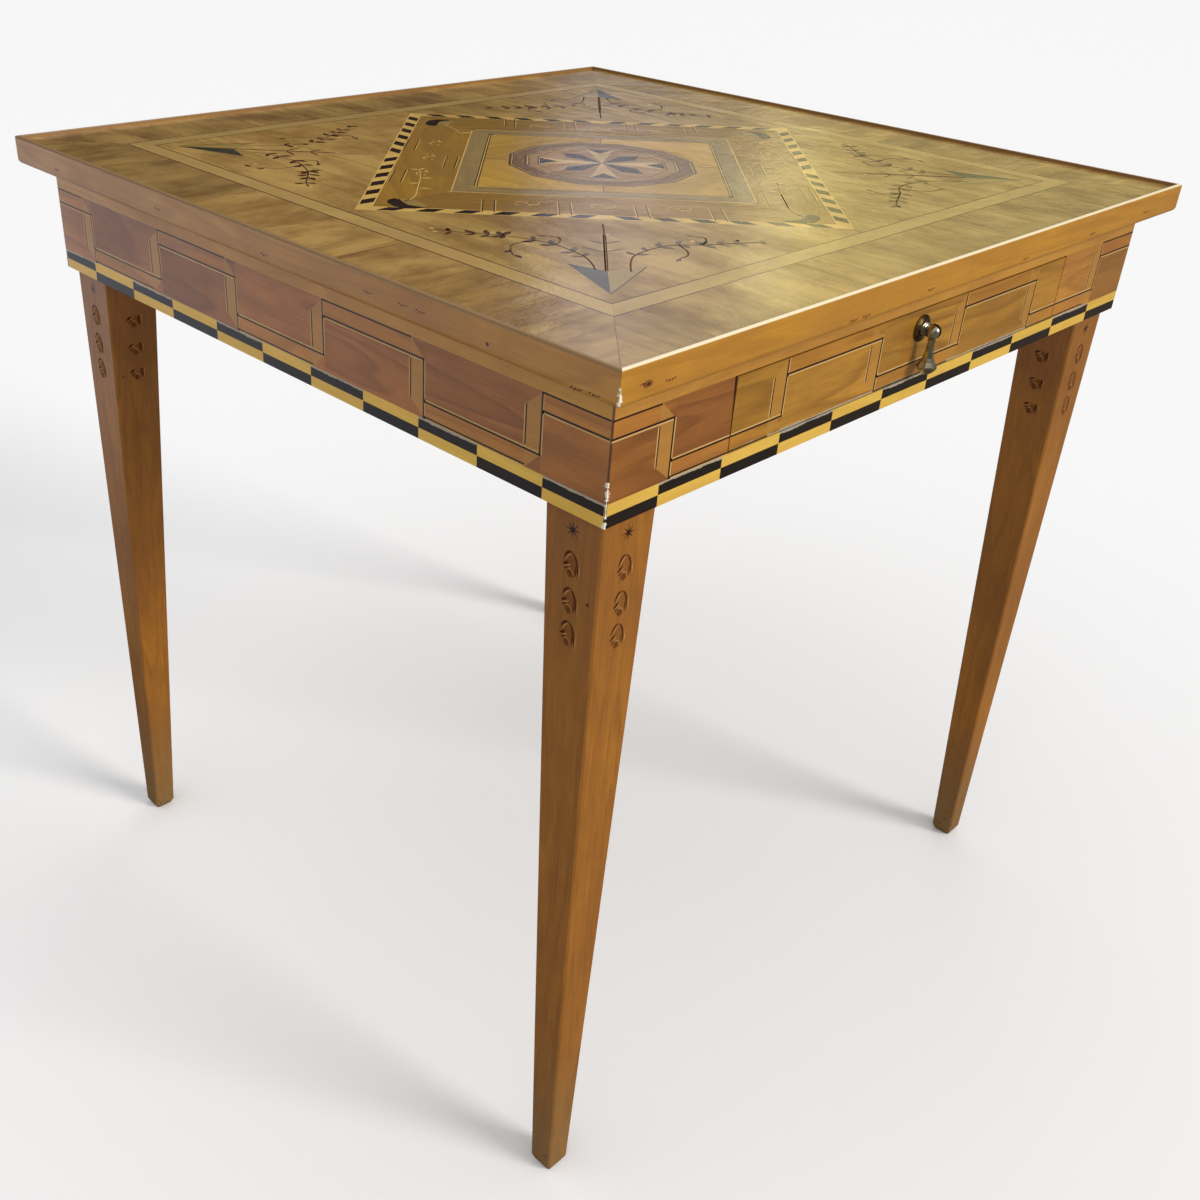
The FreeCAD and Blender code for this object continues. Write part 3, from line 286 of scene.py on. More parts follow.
woods = {
    # solid cherry, planed and wax polished: honey gold, soft shine, old worm holes
    # the sides and back: the top of their lip is a darker colour, painted shade
    "cherryEdge": {**cherryBoard, "colours": ("#B6812E", "#7B4919", "#97652C"), "shine": 0.5,
                   "chipped": edgeChips, "paintedCrestLight": {"from": 777.4, "colour": "#8C6A3E"}},
    # the front moulding: a lighter, warmer copy of the edge cherry, painted sunlight on the front face, and a
    # painted highlight along the top of its lip
    "cherryFrontLit": {**cherryBoard, "colours": ("#C58D2B", "#8D5917", "#AB7529"), "shine": 0.3,
                    "chipped": edgeChips, "paintedCrestLight": {"from": 778.9, "colour": "#F8EBCB"}},
    # the caps under the moulding: lighter than the edge cherry, painted light where the overhang casts its
    # shade
    "cherryCapsLit": {**cherryBoard, "colours": ("#CF9736", "#905C1F", "#AE782E"),
                   "chipped": cornerChips, "shine": 0.5},
    "cherryLegs": {**plainWood, "colours": ("#AA6E1F", "#663B11", "#8B5519"), "lay": "upright",
                   "holes": 48, "figure": 45, "ringDepth": 0.3, "fibreDepth": 0.5, "rough": 0.36, "worn": 170,
                   "tones": 0, "shine": 0.4},
    # a knot in it: harder and redder
    "knotWood": {**plainWood, "colours": ("#96602A", "#6C3E16", "#844E1E"), "shine": 0.3},
    # olive veneer laid across the border: golden brown, cloudy, with a deep polish
    "oliveBorder": {**topVeneer, "colours": ("#BB9758", "#614319", "#745025"),
                    "lay": "across the border", "pieces": (194, 188), "tones": 0.13},
    # maple veneer: paler and quiet
    "mapleBand": {**topVeneer, "colours": ("#BD9C5D", "#957744", "#AA894F"),
                  "lay": "round the table", "ringDepth": 0.2},
    "mapleInlay": {**paleInlay, "colours": ("#E0B967", "#B39050", "#C8A355")},
    # duller maple of the star
    "mapleStar": {**paleInlay, "colours": ("#CBAA72", "#A28558", "#B6966A")},
    "greyMaple": {**paleInlay, "colours": ("#A2874A", "#816A39", "#917842")},
    # stained pear: nearly black, slightly brown where it is worn
    "blackPear": {**plainWood, "colours": ("#160D09", "#0D0705", "#20140E"), "ringDepth": 0.2,
                  "shine": 0.3, "frayed": 677, "chipped": {**cornerChips, "dirt": "#120C0A"}},
    "blackTop": {**darkInlay, "colours": ("#241008", "#160803", "#321A0C")},
    "brownPear": {**darkInlay, "colours": ("#4A280C", "#2C1505", "#5C3612")},
    "greyPear": {**darkInlay, "colours": ("#3A362A", "#26231B", "#464132")},
    # elm veneer: brownish yellow, cloudy, with a faint flame
    "elmField": {**topVeneer, "colours": ("#C4A15D", "#6D4B1E", "#835E29"), "lay": "front to back",
                 "tones": 0.1},
    # grey-brown walnut veneer of the diamond
    "walnutDiamond": {**diamondVeneer, "colours": ("#A67C31", "#6D4E1C", "#876426")},
    "walnutStrip": {**diamondVeneer, "colours": ("#9E8553", "#725A37", "#8A7148")},
    # yew veneer of the centre panel: warm gold
    "yewPanel": {**topVeneer, "colours": ("#CA9F48", "#8B6529", "#A78137"), "lay": "in quarters",
                 "tones": 0.1},
    # walnut rings of the medallion: purplish brown
    "walnutRing": {**topVeneer, "colours": ("#8B6644", "#5B3F28", "#755335"),
                   "lay": "round the medallion", "tones": 0.12},
    "walnutGround": {**topVeneer, "colours": ("#A78151", "#785634", "#8E6942")},
    # walnut and cherry veneers of the frieze, no two panels alike
    "walnutFrieze": {**friezeVeneer, "colours": ("#B5712B", "#673A13", "#8C541F"), "holes": 55,
                     "tones": 0.18, "shine": 0.5,
                     "golden": {"rightOf": 200, "before": -349, "tint": (1.3, 1.6, 1.35)}},
    "walnutDrawer": {**friezeVeneer, "colours": ("#C08B2E", "#734815", "#986B23"), "holes": 40,
                     "tones": 0.12, "shine": 0.3, "frayed": 678.6},
    "cherryFrieze": {**friezeVeneer, "colours": ("#C2812E", "#89531B", "#A66B27"), "tones": 0.08,
                     "shine": 0.5, "posts": goldenPosts},
    "cherryDrawer": {**friezeVeneer, "colours": ("#BE852C", "#86561A", "#A36F26"), "tones": 0.08,
                     "shine": 0.3, "frayed": 678.6, "posts": goldenPosts},
    # fine lines of rosewood and boxwood
    "rosewood": {**plainWood, "colours": ("#2A1006", "#190803", "#361808"), "shine": 0.3},
    "boxwoodLine": {**plainWood, "colours": ("#D2AB6C", "#AA874E", "#BE975B"), "shine": 0.15},
    # plum wood, reddish brown, in the husks of the legs
    "plum": {**plumInlay, "colours": ("#8E5C2A", "#683E18", "#7C4E22"), "lay": "upright"},
    "plumLine": {**plumInlay, "colours": ("#C0915A", "#94683A", "#AA7C48")},
    "budPlum": {**plumInlay, "colours": ("#74441E", "#502A10", "#643818")},
    "darkPlum": {**plumInlay, "colours": ("#4E250D", "#351706", "#5C3215")},
    # boxwood: bright yellow, close grained
    "boxwood": {**plainWood, "colours": ("#E8BE53", "#BA9038", "#D3A846"),
                "lay": "round the table", "ringDepth": 0.3, "shine": 0.3, "chipped": cornerChips},
    # bare poplar inside: dull, pale and dry
    "poplar": {**plainWood, **bareWood},
    "poplarSides": {**plainWood, **bareWood, "lay": "front to back"},
}
woodFinishes = {name: woodMaterial(name, wood) for name, wood in woods.items()}
print("woods:", len(woodFinishes))


def bronzeMaterial(name, bronze):
    material, add = newMaterial(name)
    place = add("ShaderNodeTexCoord").outputs["Object"]
    tarnish = add("ShaderNodeTexNoise", {
        "Vector": place, "Scale": 1 / (bronze["patch"] * mm), "Detail": 4, "Roughness": 0.6})
    share = add("ShaderNodeMapRange", {"Value": tarnish, "From Min": 0.4, "From Max": 0.62})
    bright, dark = linear(bronze["bright"]), linear(bronze["dark"])
    colour = add("ShaderNodeMix", {0: share, 6: bright, 7: dark}, data_type="RGBA").outputs[2]
    rough = add("ShaderNodeMapRange", {"Value": share, "To Min": 0.2, "To Max": 0.38})
    relief = add("ShaderNodeBump", {"Strength": 0.1, "Distance": 0.1 * mm, "Height": tarnish})
    shader = add("ShaderNodeBsdfPrincipled", {
        "Base Color": colour, "Metallic": 1, "Roughness": rough, "Normal": relief})
    add("ShaderNodeOutputMaterial", {"Surface": shader})
    return material


# cast bronze: greenish grey where it is handled, brown in the hollows and on the plate behind
bronzeFinish = bronzeMaterial("castBronze", {"bright": "#C6C7B2", "dark": "#86806A", "patch": 11})
brownBronze = bronzeMaterial("brownBronze", {"bright": "#8A7050", "dark": "#4A3826", "patch": 8})

nodeWoods = {
    "cherryEdge": ("edge_right", "edge_back", "edge_left"),
    "cherryFrontLit": ("edge_front",),
    "cherryCapsLit": ("frieze_caps",),
    "cherryLegs": ("leg_front_left", "leg_front_right", "leg_back_right", "leg_back_left"),
    "oliveBorder": ("border_veneers",),
    "mapleBand": ("light_band",),
    "mapleInlay": ("stripes_light", "top_strings_light"),
    "mapleStar": ("star_light",),
    "greyMaple": ("arrowheads_light",),
    "blackTop": ("stripes_dark", "star_dark", "top_strings_dark"),
    "blackPear": ("chequers_dark",),
    "greyPear": ("arrowheads_dark",),
    "elmField": ("corner_fields",),
    "walnutDiamond": ("diamond_band",),
    "walnutStrip": ("panel_frame",),
    "yewPanel": ("centre_panel",),
    "walnutRing": ("medallion_ring",),
    "walnutGround": ("medallion_inner_ring", "star_ground"),
    "walnutFrieze": ("frieze_panels",),
    "walnutDrawer": ("drawer_panels",),
    "cherryFrieze": ("frieze_strips",),
    "cherryDrawer": ("drawer_strips",),
    "boxwood": ("chequers_light",),
    "poplar": ("top_core", "apron_back", "front_bottom_rail", "front_top_rail", "front_stile_left",
               "front_stile_right", "drawer_stops", "glue_blocks", "drawer_front", "drawer_back",
               "drawer_bottom"),
    "poplarSides": ("apron_right", "apron_left", "drawer_runner_left", "drawer_runner_right",
                    "drawer_guide_left", "drawer_guide_right", "drawer_kicker_left", "drawer_kicker_right",
                    "drawer_side_left", "drawer_side_right"),
}
finishes = {node: woodFinishes[wood] for wood, members in nodeWoods.items() for node in members}
finishes.update({node: bronzeFinish for node in nodes if node.startswith("pull_")})
finishes["pull_rosette"] = brownBronze
for node, item in nodes.items():
    for slot in item.material_slots:
        slot.material = finishes[node]
print("finished nodes:", len(finishes))

# Fine inlay: slips and motifs of veneer let in flush, drawn in millimetres on the face they lie in

proud = 0.06  # millimetres that a slip stands above its face, so that it shows
slipDepth = 0.3


def newTree(name, sockets):
    tree = bpy.data.node_groups.new(name, "GeometryNodeTree")
    for label, kind in {"Geometry": "Geometry", **sockets}.items():
        tree.interface.new_socket(label, in_out="INPUT", socket_type="NodeSocket" + kind)
    tree.interface.new_socket("Geometry", in_out="OUTPUT", socket_type="NodeSocketGeometry")
    add = partial(addNode, tree)
    return tree, add, add("NodeGroupInput").outputs


def endTree(add, geometry, material):
    whole = add("GeometryNodeRealizeInstances", {"Geometry": geometry})
    finished = add("GeometryNodeSetMaterial", {"Geometry": whole, "Material": material})
    add("NodeGroupOutput", (finished,))


# a motif on every point, turned and sized by what the point carries
motifTree, add, given = newTree("motifsOnPoints", {"Motif": "Object", "Material": "Material"})
shape = add("GeometryNodeObjectInfo", {"Object": given["Motif"]})
pointFacts = ("turn", "span")
turns, spans = [add("GeometryNodeInputNamedAttribute", {"Name": fact}, data_type="FLOAT_VECTOR")
                for fact in pointFacts]
rotations = add("FunctionNodeEulerToRotation", (turns,))
placed = add("GeometryNodeInstanceOnPoints", {
    "Points": given["Geometry"], "Instance": shape.outputs["Geometry"], "Rotation": rotations,
    "Scale": spans})
endTree(add, placed, given["Material"])

# a flat stem along every chain of edges, rounded at the bends
stemTree, add, given = newTree("stems", {"Width": "Float", "Depth": "Float", "Material": "Material"})
chain = add("GeometryNodeMeshToCurve", {"Mesh": given["Geometry"]})
bent = add("GeometryNodeCurveSplineType", {"Curve": chain}, spline_type="CATMULL_ROM")
fine = add("GeometryNodeSetSplineResolution", {"Geometry": bent, "Resolution": 4})
level = add("GeometryNodeSetCurveNormal", {"Curve": fine}, mode="Z_UP")
section = add("GeometryNodeCurvePrimitiveQuadrilateral", {"Width": given["Width"], "Height": given["Depth"]})
swept = add("GeometryNodeCurveToMesh", {"Curve": level, "Profile Curve": section, "Fill Caps": True})
endTree(add, swept, given["Material"])


def bake(name, mesh, tree, inputs, body):
    source = bpy.data.objects.new(name, mesh)
    scene.collection.objects.link(source)
    modifier = source.modifiers.new(name, "NODES")
    modifier.node_group = tree
    for socket in tree.interface.items_tree:
        if socket.in_out == "INPUT" and socket.name in inputs:
            modifier[socket.identifier] = inputs[socket.name]
    graph = bpy.context.evaluated_depsgraph_get()
    made = bpy.data.meshes.new_from_object(source.evaluated_get(graph))
    source.modifiers.clear()
    bpy.data.objects.remove(source)
    piece = bpy.data.objects.new(name, made)
    scene.collection.objects.link(piece)
    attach(piece, body)
    print(name, len(made.polygons), "faces")


def motifs(name, motif, rows, finish, body="frame"):
    mesh = bpy.data.meshes.new(name)
    mesh.from_pydata([row["place"] for row in rows], [], [])
    for fact in pointFacts:
        carried = mesh.attributes.new(fact, "FLOAT_VECTOR", "POINT")
        carried.data.foreach_set("vector", [value for row in rows for value in row[fact]])
    bake(name, mesh, motifTree, {"Motif": motif, "Material": woodFinishes[finish]}, body)


def stems(name, paths, width, finish):
    points = [point for path in paths for point in path]
    edges = []
    for path in paths:
        start = len(edges) and edges[-1][1] + 1
        edges += [(start + i, start + i + 1) for i in range(len(path) - 1)]
    mesh = bpy.data.meshes.new(name)
    mesh.from_pydata(points, edges, [])
    inputs = {"Width": width * mm, "Depth": slipDepth * mm, "Material": woodFinishes[finish]}
    bake(name, mesh, stemTree, inputs, "frame")


def flatMotif(name, outlines):
    # flat plates one unit thick, in millimetres across
    points = []
    faces = []
    for outline in outlines:
        start = len(points)
        count = len(outline)
        points += [(x * mm, y * mm, z * mm) for z in (-0.5, 0.5) for x, y in outline]
        faces.append([start + i for i in reversed(range(count))])
        faces.append([start + count + i for i in range(count)])
        faces += [[start + i, start + (i + 1) % count, start + count + (i + 1) % count, start + count + i]
                  for i in range(count)]
    mesh = bpy.data.meshes.new(name)
    mesh.from_pydata(points, [], faces)
    return bpy.data.objects.new(name, mesh)


def stroke(path, width):
    # a brush stroke along a path, thick in the middle and pointed at both ends
    left = []
    right = []
    for i in range(1, len(path) - 1):
        dx = path[i + 1][0] - path[i - 1][0]
        dy = path[i + 1][1] - path[i - 1][1]
        half = width / 2 * sin(pi * i / (len(path) - 1)) / hypot(dx, dy)
        left.append((path[i][0] - dy * half, path[i][1] + dx * half))
        right.append((path[i][0] + dy * half, path[i][1] - dx * half))
    return [path[0]] + right + [path[-1]] + left[::-1]


def arc(x, y, radiusX, radiusY, start, end, count=7):
    angles = [radians(start + (end - start) * i / (count - 1)) for i in range(count)]
    return [(x + radiusX * cos(a), y + radiusY * sin(a)) for a in angles]


def oval(x, y, halfX, halfY, count=10):
    return arc(x, y, halfX, halfY, 0, 360, count + 1)[:-1]


def bend(start, pull, end, count=8):
    steps = [i / (count - 1) for i in range(count)]
    return [tuple((1 - t) ** 2 * a + 2 * t * (1 - t) * b + t * t * c for a, b, c in zip(start, pull, end))
            for t in steps]


def brush(*rows):
    # bent strokes: start, pull, end and width of each
    return [stroke(bend(*row[:3]), row[3]) for row in rows]


def onFace(face, x, y, angle=0, size=(1, 1), lift=proud):
    base = Euler(face["turn"]).to_matrix()
    offset = base @ Vector((x * mm, y * mm, (lift - slipDepth / 2) * mm))
    turned = base @ Euler((0, 0, angle)).to_matrix()
    return {"place": Vector(face["origin"]) + offset, "turn": turned.to_euler(), "span": (*size, slipDepth)}


def upright(x, y, degrees):
    # a face with x to the right as it is seen, and y up from the floor
    return {"origin": (x * mm, y * mm, 0), "turn": (pi / 2, 0, radians(degrees))}


block = flatMotif("slipBlock", [[(-0.5, -0.5), (0.5, -0.5), (0.5, 0.5), (-0.5, 0.5)]])
leafLength, leafBend, leafWidth = 10, 0.9, 4.2  # of the shape as drawn
leafSpine = [(i, leafBend * sin(pi * i / leafLength)) for i in range(leafLength + 1)]
leafShape = flatMotif("leafShape", [stroke(leafSpine, leafWidth)])
budShape = flatMotif("budShape", [oval(0, 0, 2.2, 1.5)])
topLevel = 777
slipLevel = topLevel + proud - slipDepth / 2  # the middle of a slip in the top
tableTop = {"origin": (0, 0, topLevel * mm), "turn": (0, 0, 0)}
corners = [(sideX, sideY) for sideX in (-1, 1) for sideY in (-1, 1)]


def onTop(spot, *more):
    return onFace(tableTop, spot[0], spot[1], *more)


# Leafy spray in each corner of the field. Places are measured from the corner of the field.

spray = {
    "corner": (296.1, 284.1), "stemWidth": 2.6, "tipWidth": 1.2, "vineWidth": 1.3,
    "stem": ((50.6, 51.5), (95, 94), (118, 116)),
    "stemTip": ((118, 116), (140.8, 138.8)),
    "vines": (((45.8, 57.8), (55.4, 70.4), (63.2, 84.9), (66.1, 97.5), (68, 118.9), (64.2, 136.3),
               (53.5, 160.5), (40.9, 177), (28.3, 192.5), (22.5, 204.2)),
              ((63.2, 39.4), (77.7, 52.9), (97.1, 65.5), (127.2, 68.4), (143.7, 63.6), (158.2, 52.9),
               (183.4, 40.3), (198.9, 31.6))),
    "tendrils": (((64.2, 136.3), (43.8, 138.8), (31.2, 129.1), (24.4, 119.4)),
                 ((143.7, 63.6), (136, 49), (127, 41), (117, 40)),
                 ((68, 118.9), (78, 124), (84, 132), (80, 139)),
                 ((158.2, 52.9), (168, 57), (175, 64), (172, 71))),
    # place, way it points in degrees and length
    "leaves": ((63, 85, 20, 11), (63, 85, 130, 10), (66, 98, 35, 13), (66, 98, 150, 12),
               (68, 119, 60, 13), (68, 119, 140, 13), (64, 137, 50, 11), (64, 137, 165, 12),
               (54, 160, 20, 13), (54, 160, 70, 12), (54, 160, 160, 13), (54, 160, 205, 10),
               (47, 169, 60, 12), (47, 169, 185, 11), (41, 177, 95, 12), (41, 177, 170, 11),
               (28, 192, 60, 10), (28, 192, 200, 10), (31, 129, 190, 9), (24, 119, 265, 10),
               (97, 65, 80, 11), (97, 65, -30, 11), (112, 67, 60, 10), (127, 68, 40, 13),
               (127, 68, -60, 12), (144, 64, 30, 12), (144, 64, -90, 12), (158, 53, 15, 13),
               (158, 53, -80, 13), (158, 53, 60, 10), (170, 46, 20, 12), (170, 46, -75, 10),
               (183, 40, 25, 11), (183, 40, -80, 11), (199, 32, -5, 10), (199, 32, -60, 9),
               (117, 40, 200, 9), (80, 139, 130, 9), (172, 71, 100, 9)),
    "frondWidth": 5.5,  # as wide as a leaf of this length
    "fronds": ((84, 84, 100, 21), (84, 84, -10, 21), (100, 99, 98, 17), (100, 99, -8, 17)),
    "buds": ((119.4, 114.5, 45), (32.2, 112.1, 60), (22.5, 207, 100), (30, 197, 30), (19, 199, 150),
             (52, 171, 70), (60, 167, 10), (201, 28, -30), (190, 44, 40), (160, 64, 45)),
}
sprayStems = []
sprayTips = []
vinePaths = []
leafRows = []
frondRows = []
budRows = []
for sideX, sideY in corners:
    def sprayPlace(a, b):
        return sideX * (spray["corner"][0] - a), sideY * (spray["corner"][1] - b)

    def sprayWay(degrees):
        way = radians(degrees)
        return atan2(-sideY * sin(way), -sideX * cos(way))

    def sprayPath(path):
        return [(x * mm, y * mm, slipLevel * mm) for x, y in (sprayPlace(*point) for point in path)]

    sprayStems.append(sprayPath(spray["stem"]))
    sprayTips.append(sprayPath(spray["stemTip"]))
    vinePaths += [sprayPath(path) for path in spray["vines"] + spray["tendrils"]]
    for a, b, way, length in spray["leaves"]:
        size = length / leafLength
        leafRows.append(onTop(sprayPlace(a, b), sprayWay(way), (size, size)))
    for a, b, way, length in spray["fronds"]:
        size = (length / leafLength, spray["frondWidth"] / leafLength)
        frondRows.append(onTop(sprayPlace(a, b), sprayWay(way), size))
    budRows += [onTop(sprayPlace(a, b), sprayWay(way)) for a, b, way in spray["buds"]]
stems("spray_stems", sprayStems, spray["stemWidth"], "brownPear")
stems("spray_tips", sprayTips, spray["tipWidth"], "brownPear")
stems("spray_vines", vinePaths, spray["vineWidth"], "brownPear")
motifs("spray_leaves", leafShape, leafRows, "brownPear")
motifs("spray_fronds", leafShape, frondRows, "brownPear")
motifs("spray_buds", budShape, budRows, "mapleInlay")

# Arrowheads: a dark line along the outer side of the light half

arrow = {"inset": 19, "barb": 67, "half": 28.5, "line": 1.1}
arrowRows = []
for sideX, sideY, hand in ((-1, -1, -1), (1, -1, 1), (1, 1, -1), (-1, 1, 1)):
    inward = Vector((-sideX, -sideY)).normalized()
    across = Vector((-inward.y, inward.x))
    corner = Vector((sideX * spray["corner"][0], sideY * spray["corner"][1]))
    tip = corner + inward * arrow["inset"]
    barb = corner + inward * (arrow["inset"] + arrow["barb"]) + across * hand * arrow["half"]
    way = barb - tip
    arrowRows.append(onTop((tip + barb) / 2, atan2(way.y, way.x), (way.length, arrow["line"])))
motifs("arrow_lines", block, arrowRows, "brownPear")

# Diamond band: pairs of dark and light lines on it, and light sprigs

band = {
    "corner": (287.6, 275.6), "apart": 9.7, "from": 9, "to": 48, "cross": (0.265, 0.421, 0.579, 0.735),
    # pairs along the band: share of the side, distances from its outer edge
    "along": (((0.3, 15, 25), (0.62, 13, 23), (0.457, 56, 66)),
              ((0.37, 13, 23), (0.722, 17, 26.3), (0.508, 50, 59.7), (0.8, 45, 61))),
    "alongReach": 46, "dark": 1, "light": 0.8, "beside": 0.9,
    "sprigs": (0.343, 0.5, 0.657), "sprigInset": 40,
    # slips beside the dark strings of the frame
    "slips": ((70.3, 1.2), (89.4, 1)),
}
sprigShape = flatMotif("sprigShape", [
    stroke(arc(-5, 0, 6, 5, 20, 170), 1.3), stroke(arc(6, 1, 5, 4, 190, 350), 1.3), oval(0, 2, 1.4, 1.1),
    oval(-9, -3, 1.3, 1), oval(10, 3.4, 1.3, 1), oval(2.5, -4.5, 1.6, 1)])
darkLines = []
lightLines = []
sprigRows = []
for sideX, sideY in corners:
    start = Vector((sideX * band["corner"][0], 0))
    side = Vector((0, sideY * band["corner"][1])) - start
    along = side.normalized()
    inward = Vector((-sideX * abs(along.y), -sideY * abs(along.x)))
    way = atan2(inward.y, inward.x)
    reach = band["to"] - band["from"]

    def bandSpot(share, inset, aside=0):
        return start + side * share + along * aside + inward * inset

    if sideX == sideY:
        for share in band["cross"]:
            for hand in (-1, 1):
                line = bandSpot(share, (band["from"] + band["to"]) / 2, hand * band["apart"] / 2)
                darkLines.append(onTop(line, way, (reach, band["dark"])))
                lightLines.append(onTop(line + along * hand * band["beside"], way, (reach, band["light"])))
    else:
        reach = band["alongReach"]
        for share, outer, inner in band["along"][sideX > 0]:
            for inset, hand in ((outer, -1), (inner, 1)):
                line = bandSpot(share, inset)
                darkLines.append(onTop(line, way, (band["dark"], reach)))
                lightLines.append(onTop(line + inward * hand * band["beside"], way, (band["light"], reach)))
    for inset, width in band["slips"]:
        length = side.length * (1 - inset / (band["corner"][0] * band["corner"][1] / side.length))
        lightLines.append(onTop(bandSpot(0.5, inset), way, (width, length)))
    for share in band["sprigs"]:
        sprigRows.append(onTop(bandSpot(share, band["sprigInset"]), atan2(along.y, along.x)))
motifs("band_lines_dark", block, darkLines, "blackTop")
motifs("band_lines_light", block, lightLines, "mapleInlay")
motifs("band_sprigs", sprigShape, sprigRows, "mapleInlay")

# Split leaf with a tendril in each corner of the diamond, drawn inward from the corner and aside from it

leaf = {
    "dark": ((36, -4.5), (42, -9), (48, -9.5), (49.5, -4.5), (46, 4.5), (44, 12.5), (45.5, 18.5),
             (50.5, 28.5), (41, 25.5), (35, 20.5), (31.5, 12.5), (33, 3.5)),
    "light": ((49.5, -4.5), (54, -2.5), (57, 4.5), (57, 14.5), (55, 21.5), (50.5, 28.5), (45.5, 18.5),
              (44, 12.5), (46, 4.5)),
    "tendril": ((48, 3), (58, 0), (70, -8.5), (86, -25), (111, -51), (130, -74)),
    "tendrilWidth": 1, "twigWidth": 6,  # a twig is as wide as a leaf of this length
    "twigs": ((86, -25, 50, 12), (99, -38, -150, 10), (111, -51, 40, 11), (130, -74, -20, 9),
              (130, -74, -110, 9)),
    # place and turn, then how many points the tendril has and how many twigs
    "plain": ((0, -275.6, 90, 6, 5), (-31.4, 260.2, -68, 4, 1)),
    "mirrored": ((-287.6, 0, 0, 6, 5), (268.5, -29.7, 157, 4, 1)),
}
tendrilPaths = []
twigRows = []
for kind, hand in (("plain", 1), ("mirrored", -1)):
    rows = [onTop((x, y), radians(turn)) for x, y, turn, points, twigs in leaf[kind]]
    for tone, finish in (("dark", "blackTop"), ("light", "greyMaple")):
        outline = [(inward, hand * aside) for inward, aside in leaf[tone]][::hand]
        shape = flatMotif("leaf" + tone, [outline])
        motifs("corner_leaves_%s_%s" % (tone, kind), shape, rows, finish)
    for x, y, turn, points, twigs in leaf[kind]:
        about = Euler((0, 0, radians(turn))).to_matrix()
        corner = Vector((x, y, slipLevel))
        tendrilPaths.append([(corner + about @ Vector((inward, hand * aside, 0))) * mm
                             for inward, aside in leaf["tendril"][:points]])
        for inward, aside, way, length in leaf["twigs"][:twigs]:
            spot = corner + about @ Vector((inward, hand * aside, 0))
            size = (length / leafLength, leaf["twigWidth"] / leafLength)
            twigRows.append(onTop(spot, radians(turn + hand * way), size))
stems("leaf_tendrils", tendrilPaths, leaf["tendrilWidth"], "mapleInlay")
motifs("leaf_twigs", leafShape, twigRows, "mapleInlay")

# Fine lines beside the rings of the medallion: radius and width of each

medallionLines = {
    "dark": ((85.2, 0.6), (70.2, 0.6), (60.9, 0.8)),
    "light": ((86.1, 0.8), (71.1, 0.8), (60, 0.7)),
    "sides": 12,
}
half = pi / medallionLines["sides"]
for tone, finish in (("dark", "blackTop"), ("light", "mapleStar")):
    rows = []
    for radius, width in medallionLines[tone]:
        reach = radius * cos(half)
        for side in range(medallionLines["sides"]):
            turn = (2 * side + 1) * half
            rows.append(onTop((reach * cos(turn), reach * sin(turn)), turn + pi / 2,
                              (2 * radius * sin(half), width)))
    motifs("medallion_lines_" + tone, block, rows, finish)

# Open joints in the veneers of the top: mitres and cross joints of the border, quarters of the panel

joint = {
    "lip": (384.5, 372.5), "border": (315.5, 303.5), "width": 0.32,
    "panel": (89, 108), "quarter": 43.8, "quarterWidth": 0.8,
    # cross joints: middle of the joint and its length, on the left and the front border, and how they slant
    "left": ((-250, 68), (-96, 66), (92, 68), (236, 67)), "leftSlant": 0.06,
    "front": ((-120, 67), (96, 68), (254, 66)), "frontSlant": 1.52,
}
jointRows = []
width = joint["width"]
quarter = radians(joint["quarter"])
inside, outside = joint["panel"]
middleX, middleY = [(lip + border) / 2 for lip, border in zip(joint["lip"], joint["border"])]
for sideX in (-1, 1):
    for sideY in (-1, 1):
        lipCorner = Vector((sideX * joint["lip"][0], sideY * joint["lip"][1]))
        way = Vector((sideX * joint["border"][0], sideY * joint["border"][1])) - lipCorner
        jointRows.append(onTop(lipCorner + way / 2, atan2(way.y, way.x), (way.length, width)))
        turn = atan2(sideY * sin(quarter), sideX * cos(quarter))
        middle = Vector((cos(turn), sin(turn))) * (inside + outside) / 2
        jointRows.append(onTop(middle, turn, (outside - inside, joint["quarterWidth"])))
    for along, length in joint["left"]:
        jointRows.append(onTop((sideX * middleX, -sideX * along), joint["leftSlant"], (length, width)))
    for along, length in joint["front"]:
        jointRows.append(onTop((-sideX * along, sideX * middleY), joint["frontSlant"], (length, width)))
motifs("top_joints", block, jointRows, "brownPear")

# Worm tracks: little bunches of dark strokes on the edge mouldings

worms = {
    "front": ((-343, 763), (-148, 759), (-132, 759), (-48, 762), (96, 760), (214, 761), (318, 764)),
    "left": ((356, 758), (341, 757), (198, 766), (180, 766), (143, 765), (20, 762), (-130, 764), (-300, 763)),
}
wormShape = flatMotif("wormShape", brush(
    ((-4.5, 0), (-3.6, 1.2), (-2.4, 1.6), 1.1), ((-1.6, -0.8), (-0.8, 0.8), (0.4, 1.4), 1.2),
    ((1, -0.4), (1.8, 0.9), (3, 1.2), 1), ((3.4, 0.2), (4.2, 1.4), (5.2, 1.3), 0.9)))
edgeFaces = {
    "front": (upright(0, -376, 0), upright(0, 376, 180)),
    "left": (upright(-388, 0, -90), upright(388, 0, 90)),
}
wormRows = [onFace(face, x, z)
            for label, faces in edgeFaces.items() for face in faces for x, z in worms[label]]
motifs("edge_worm_tracks", wormShape, wormRows, "brownPear")

# A knot in the front moulding, and the chipped edge of the veneer beside the drawer

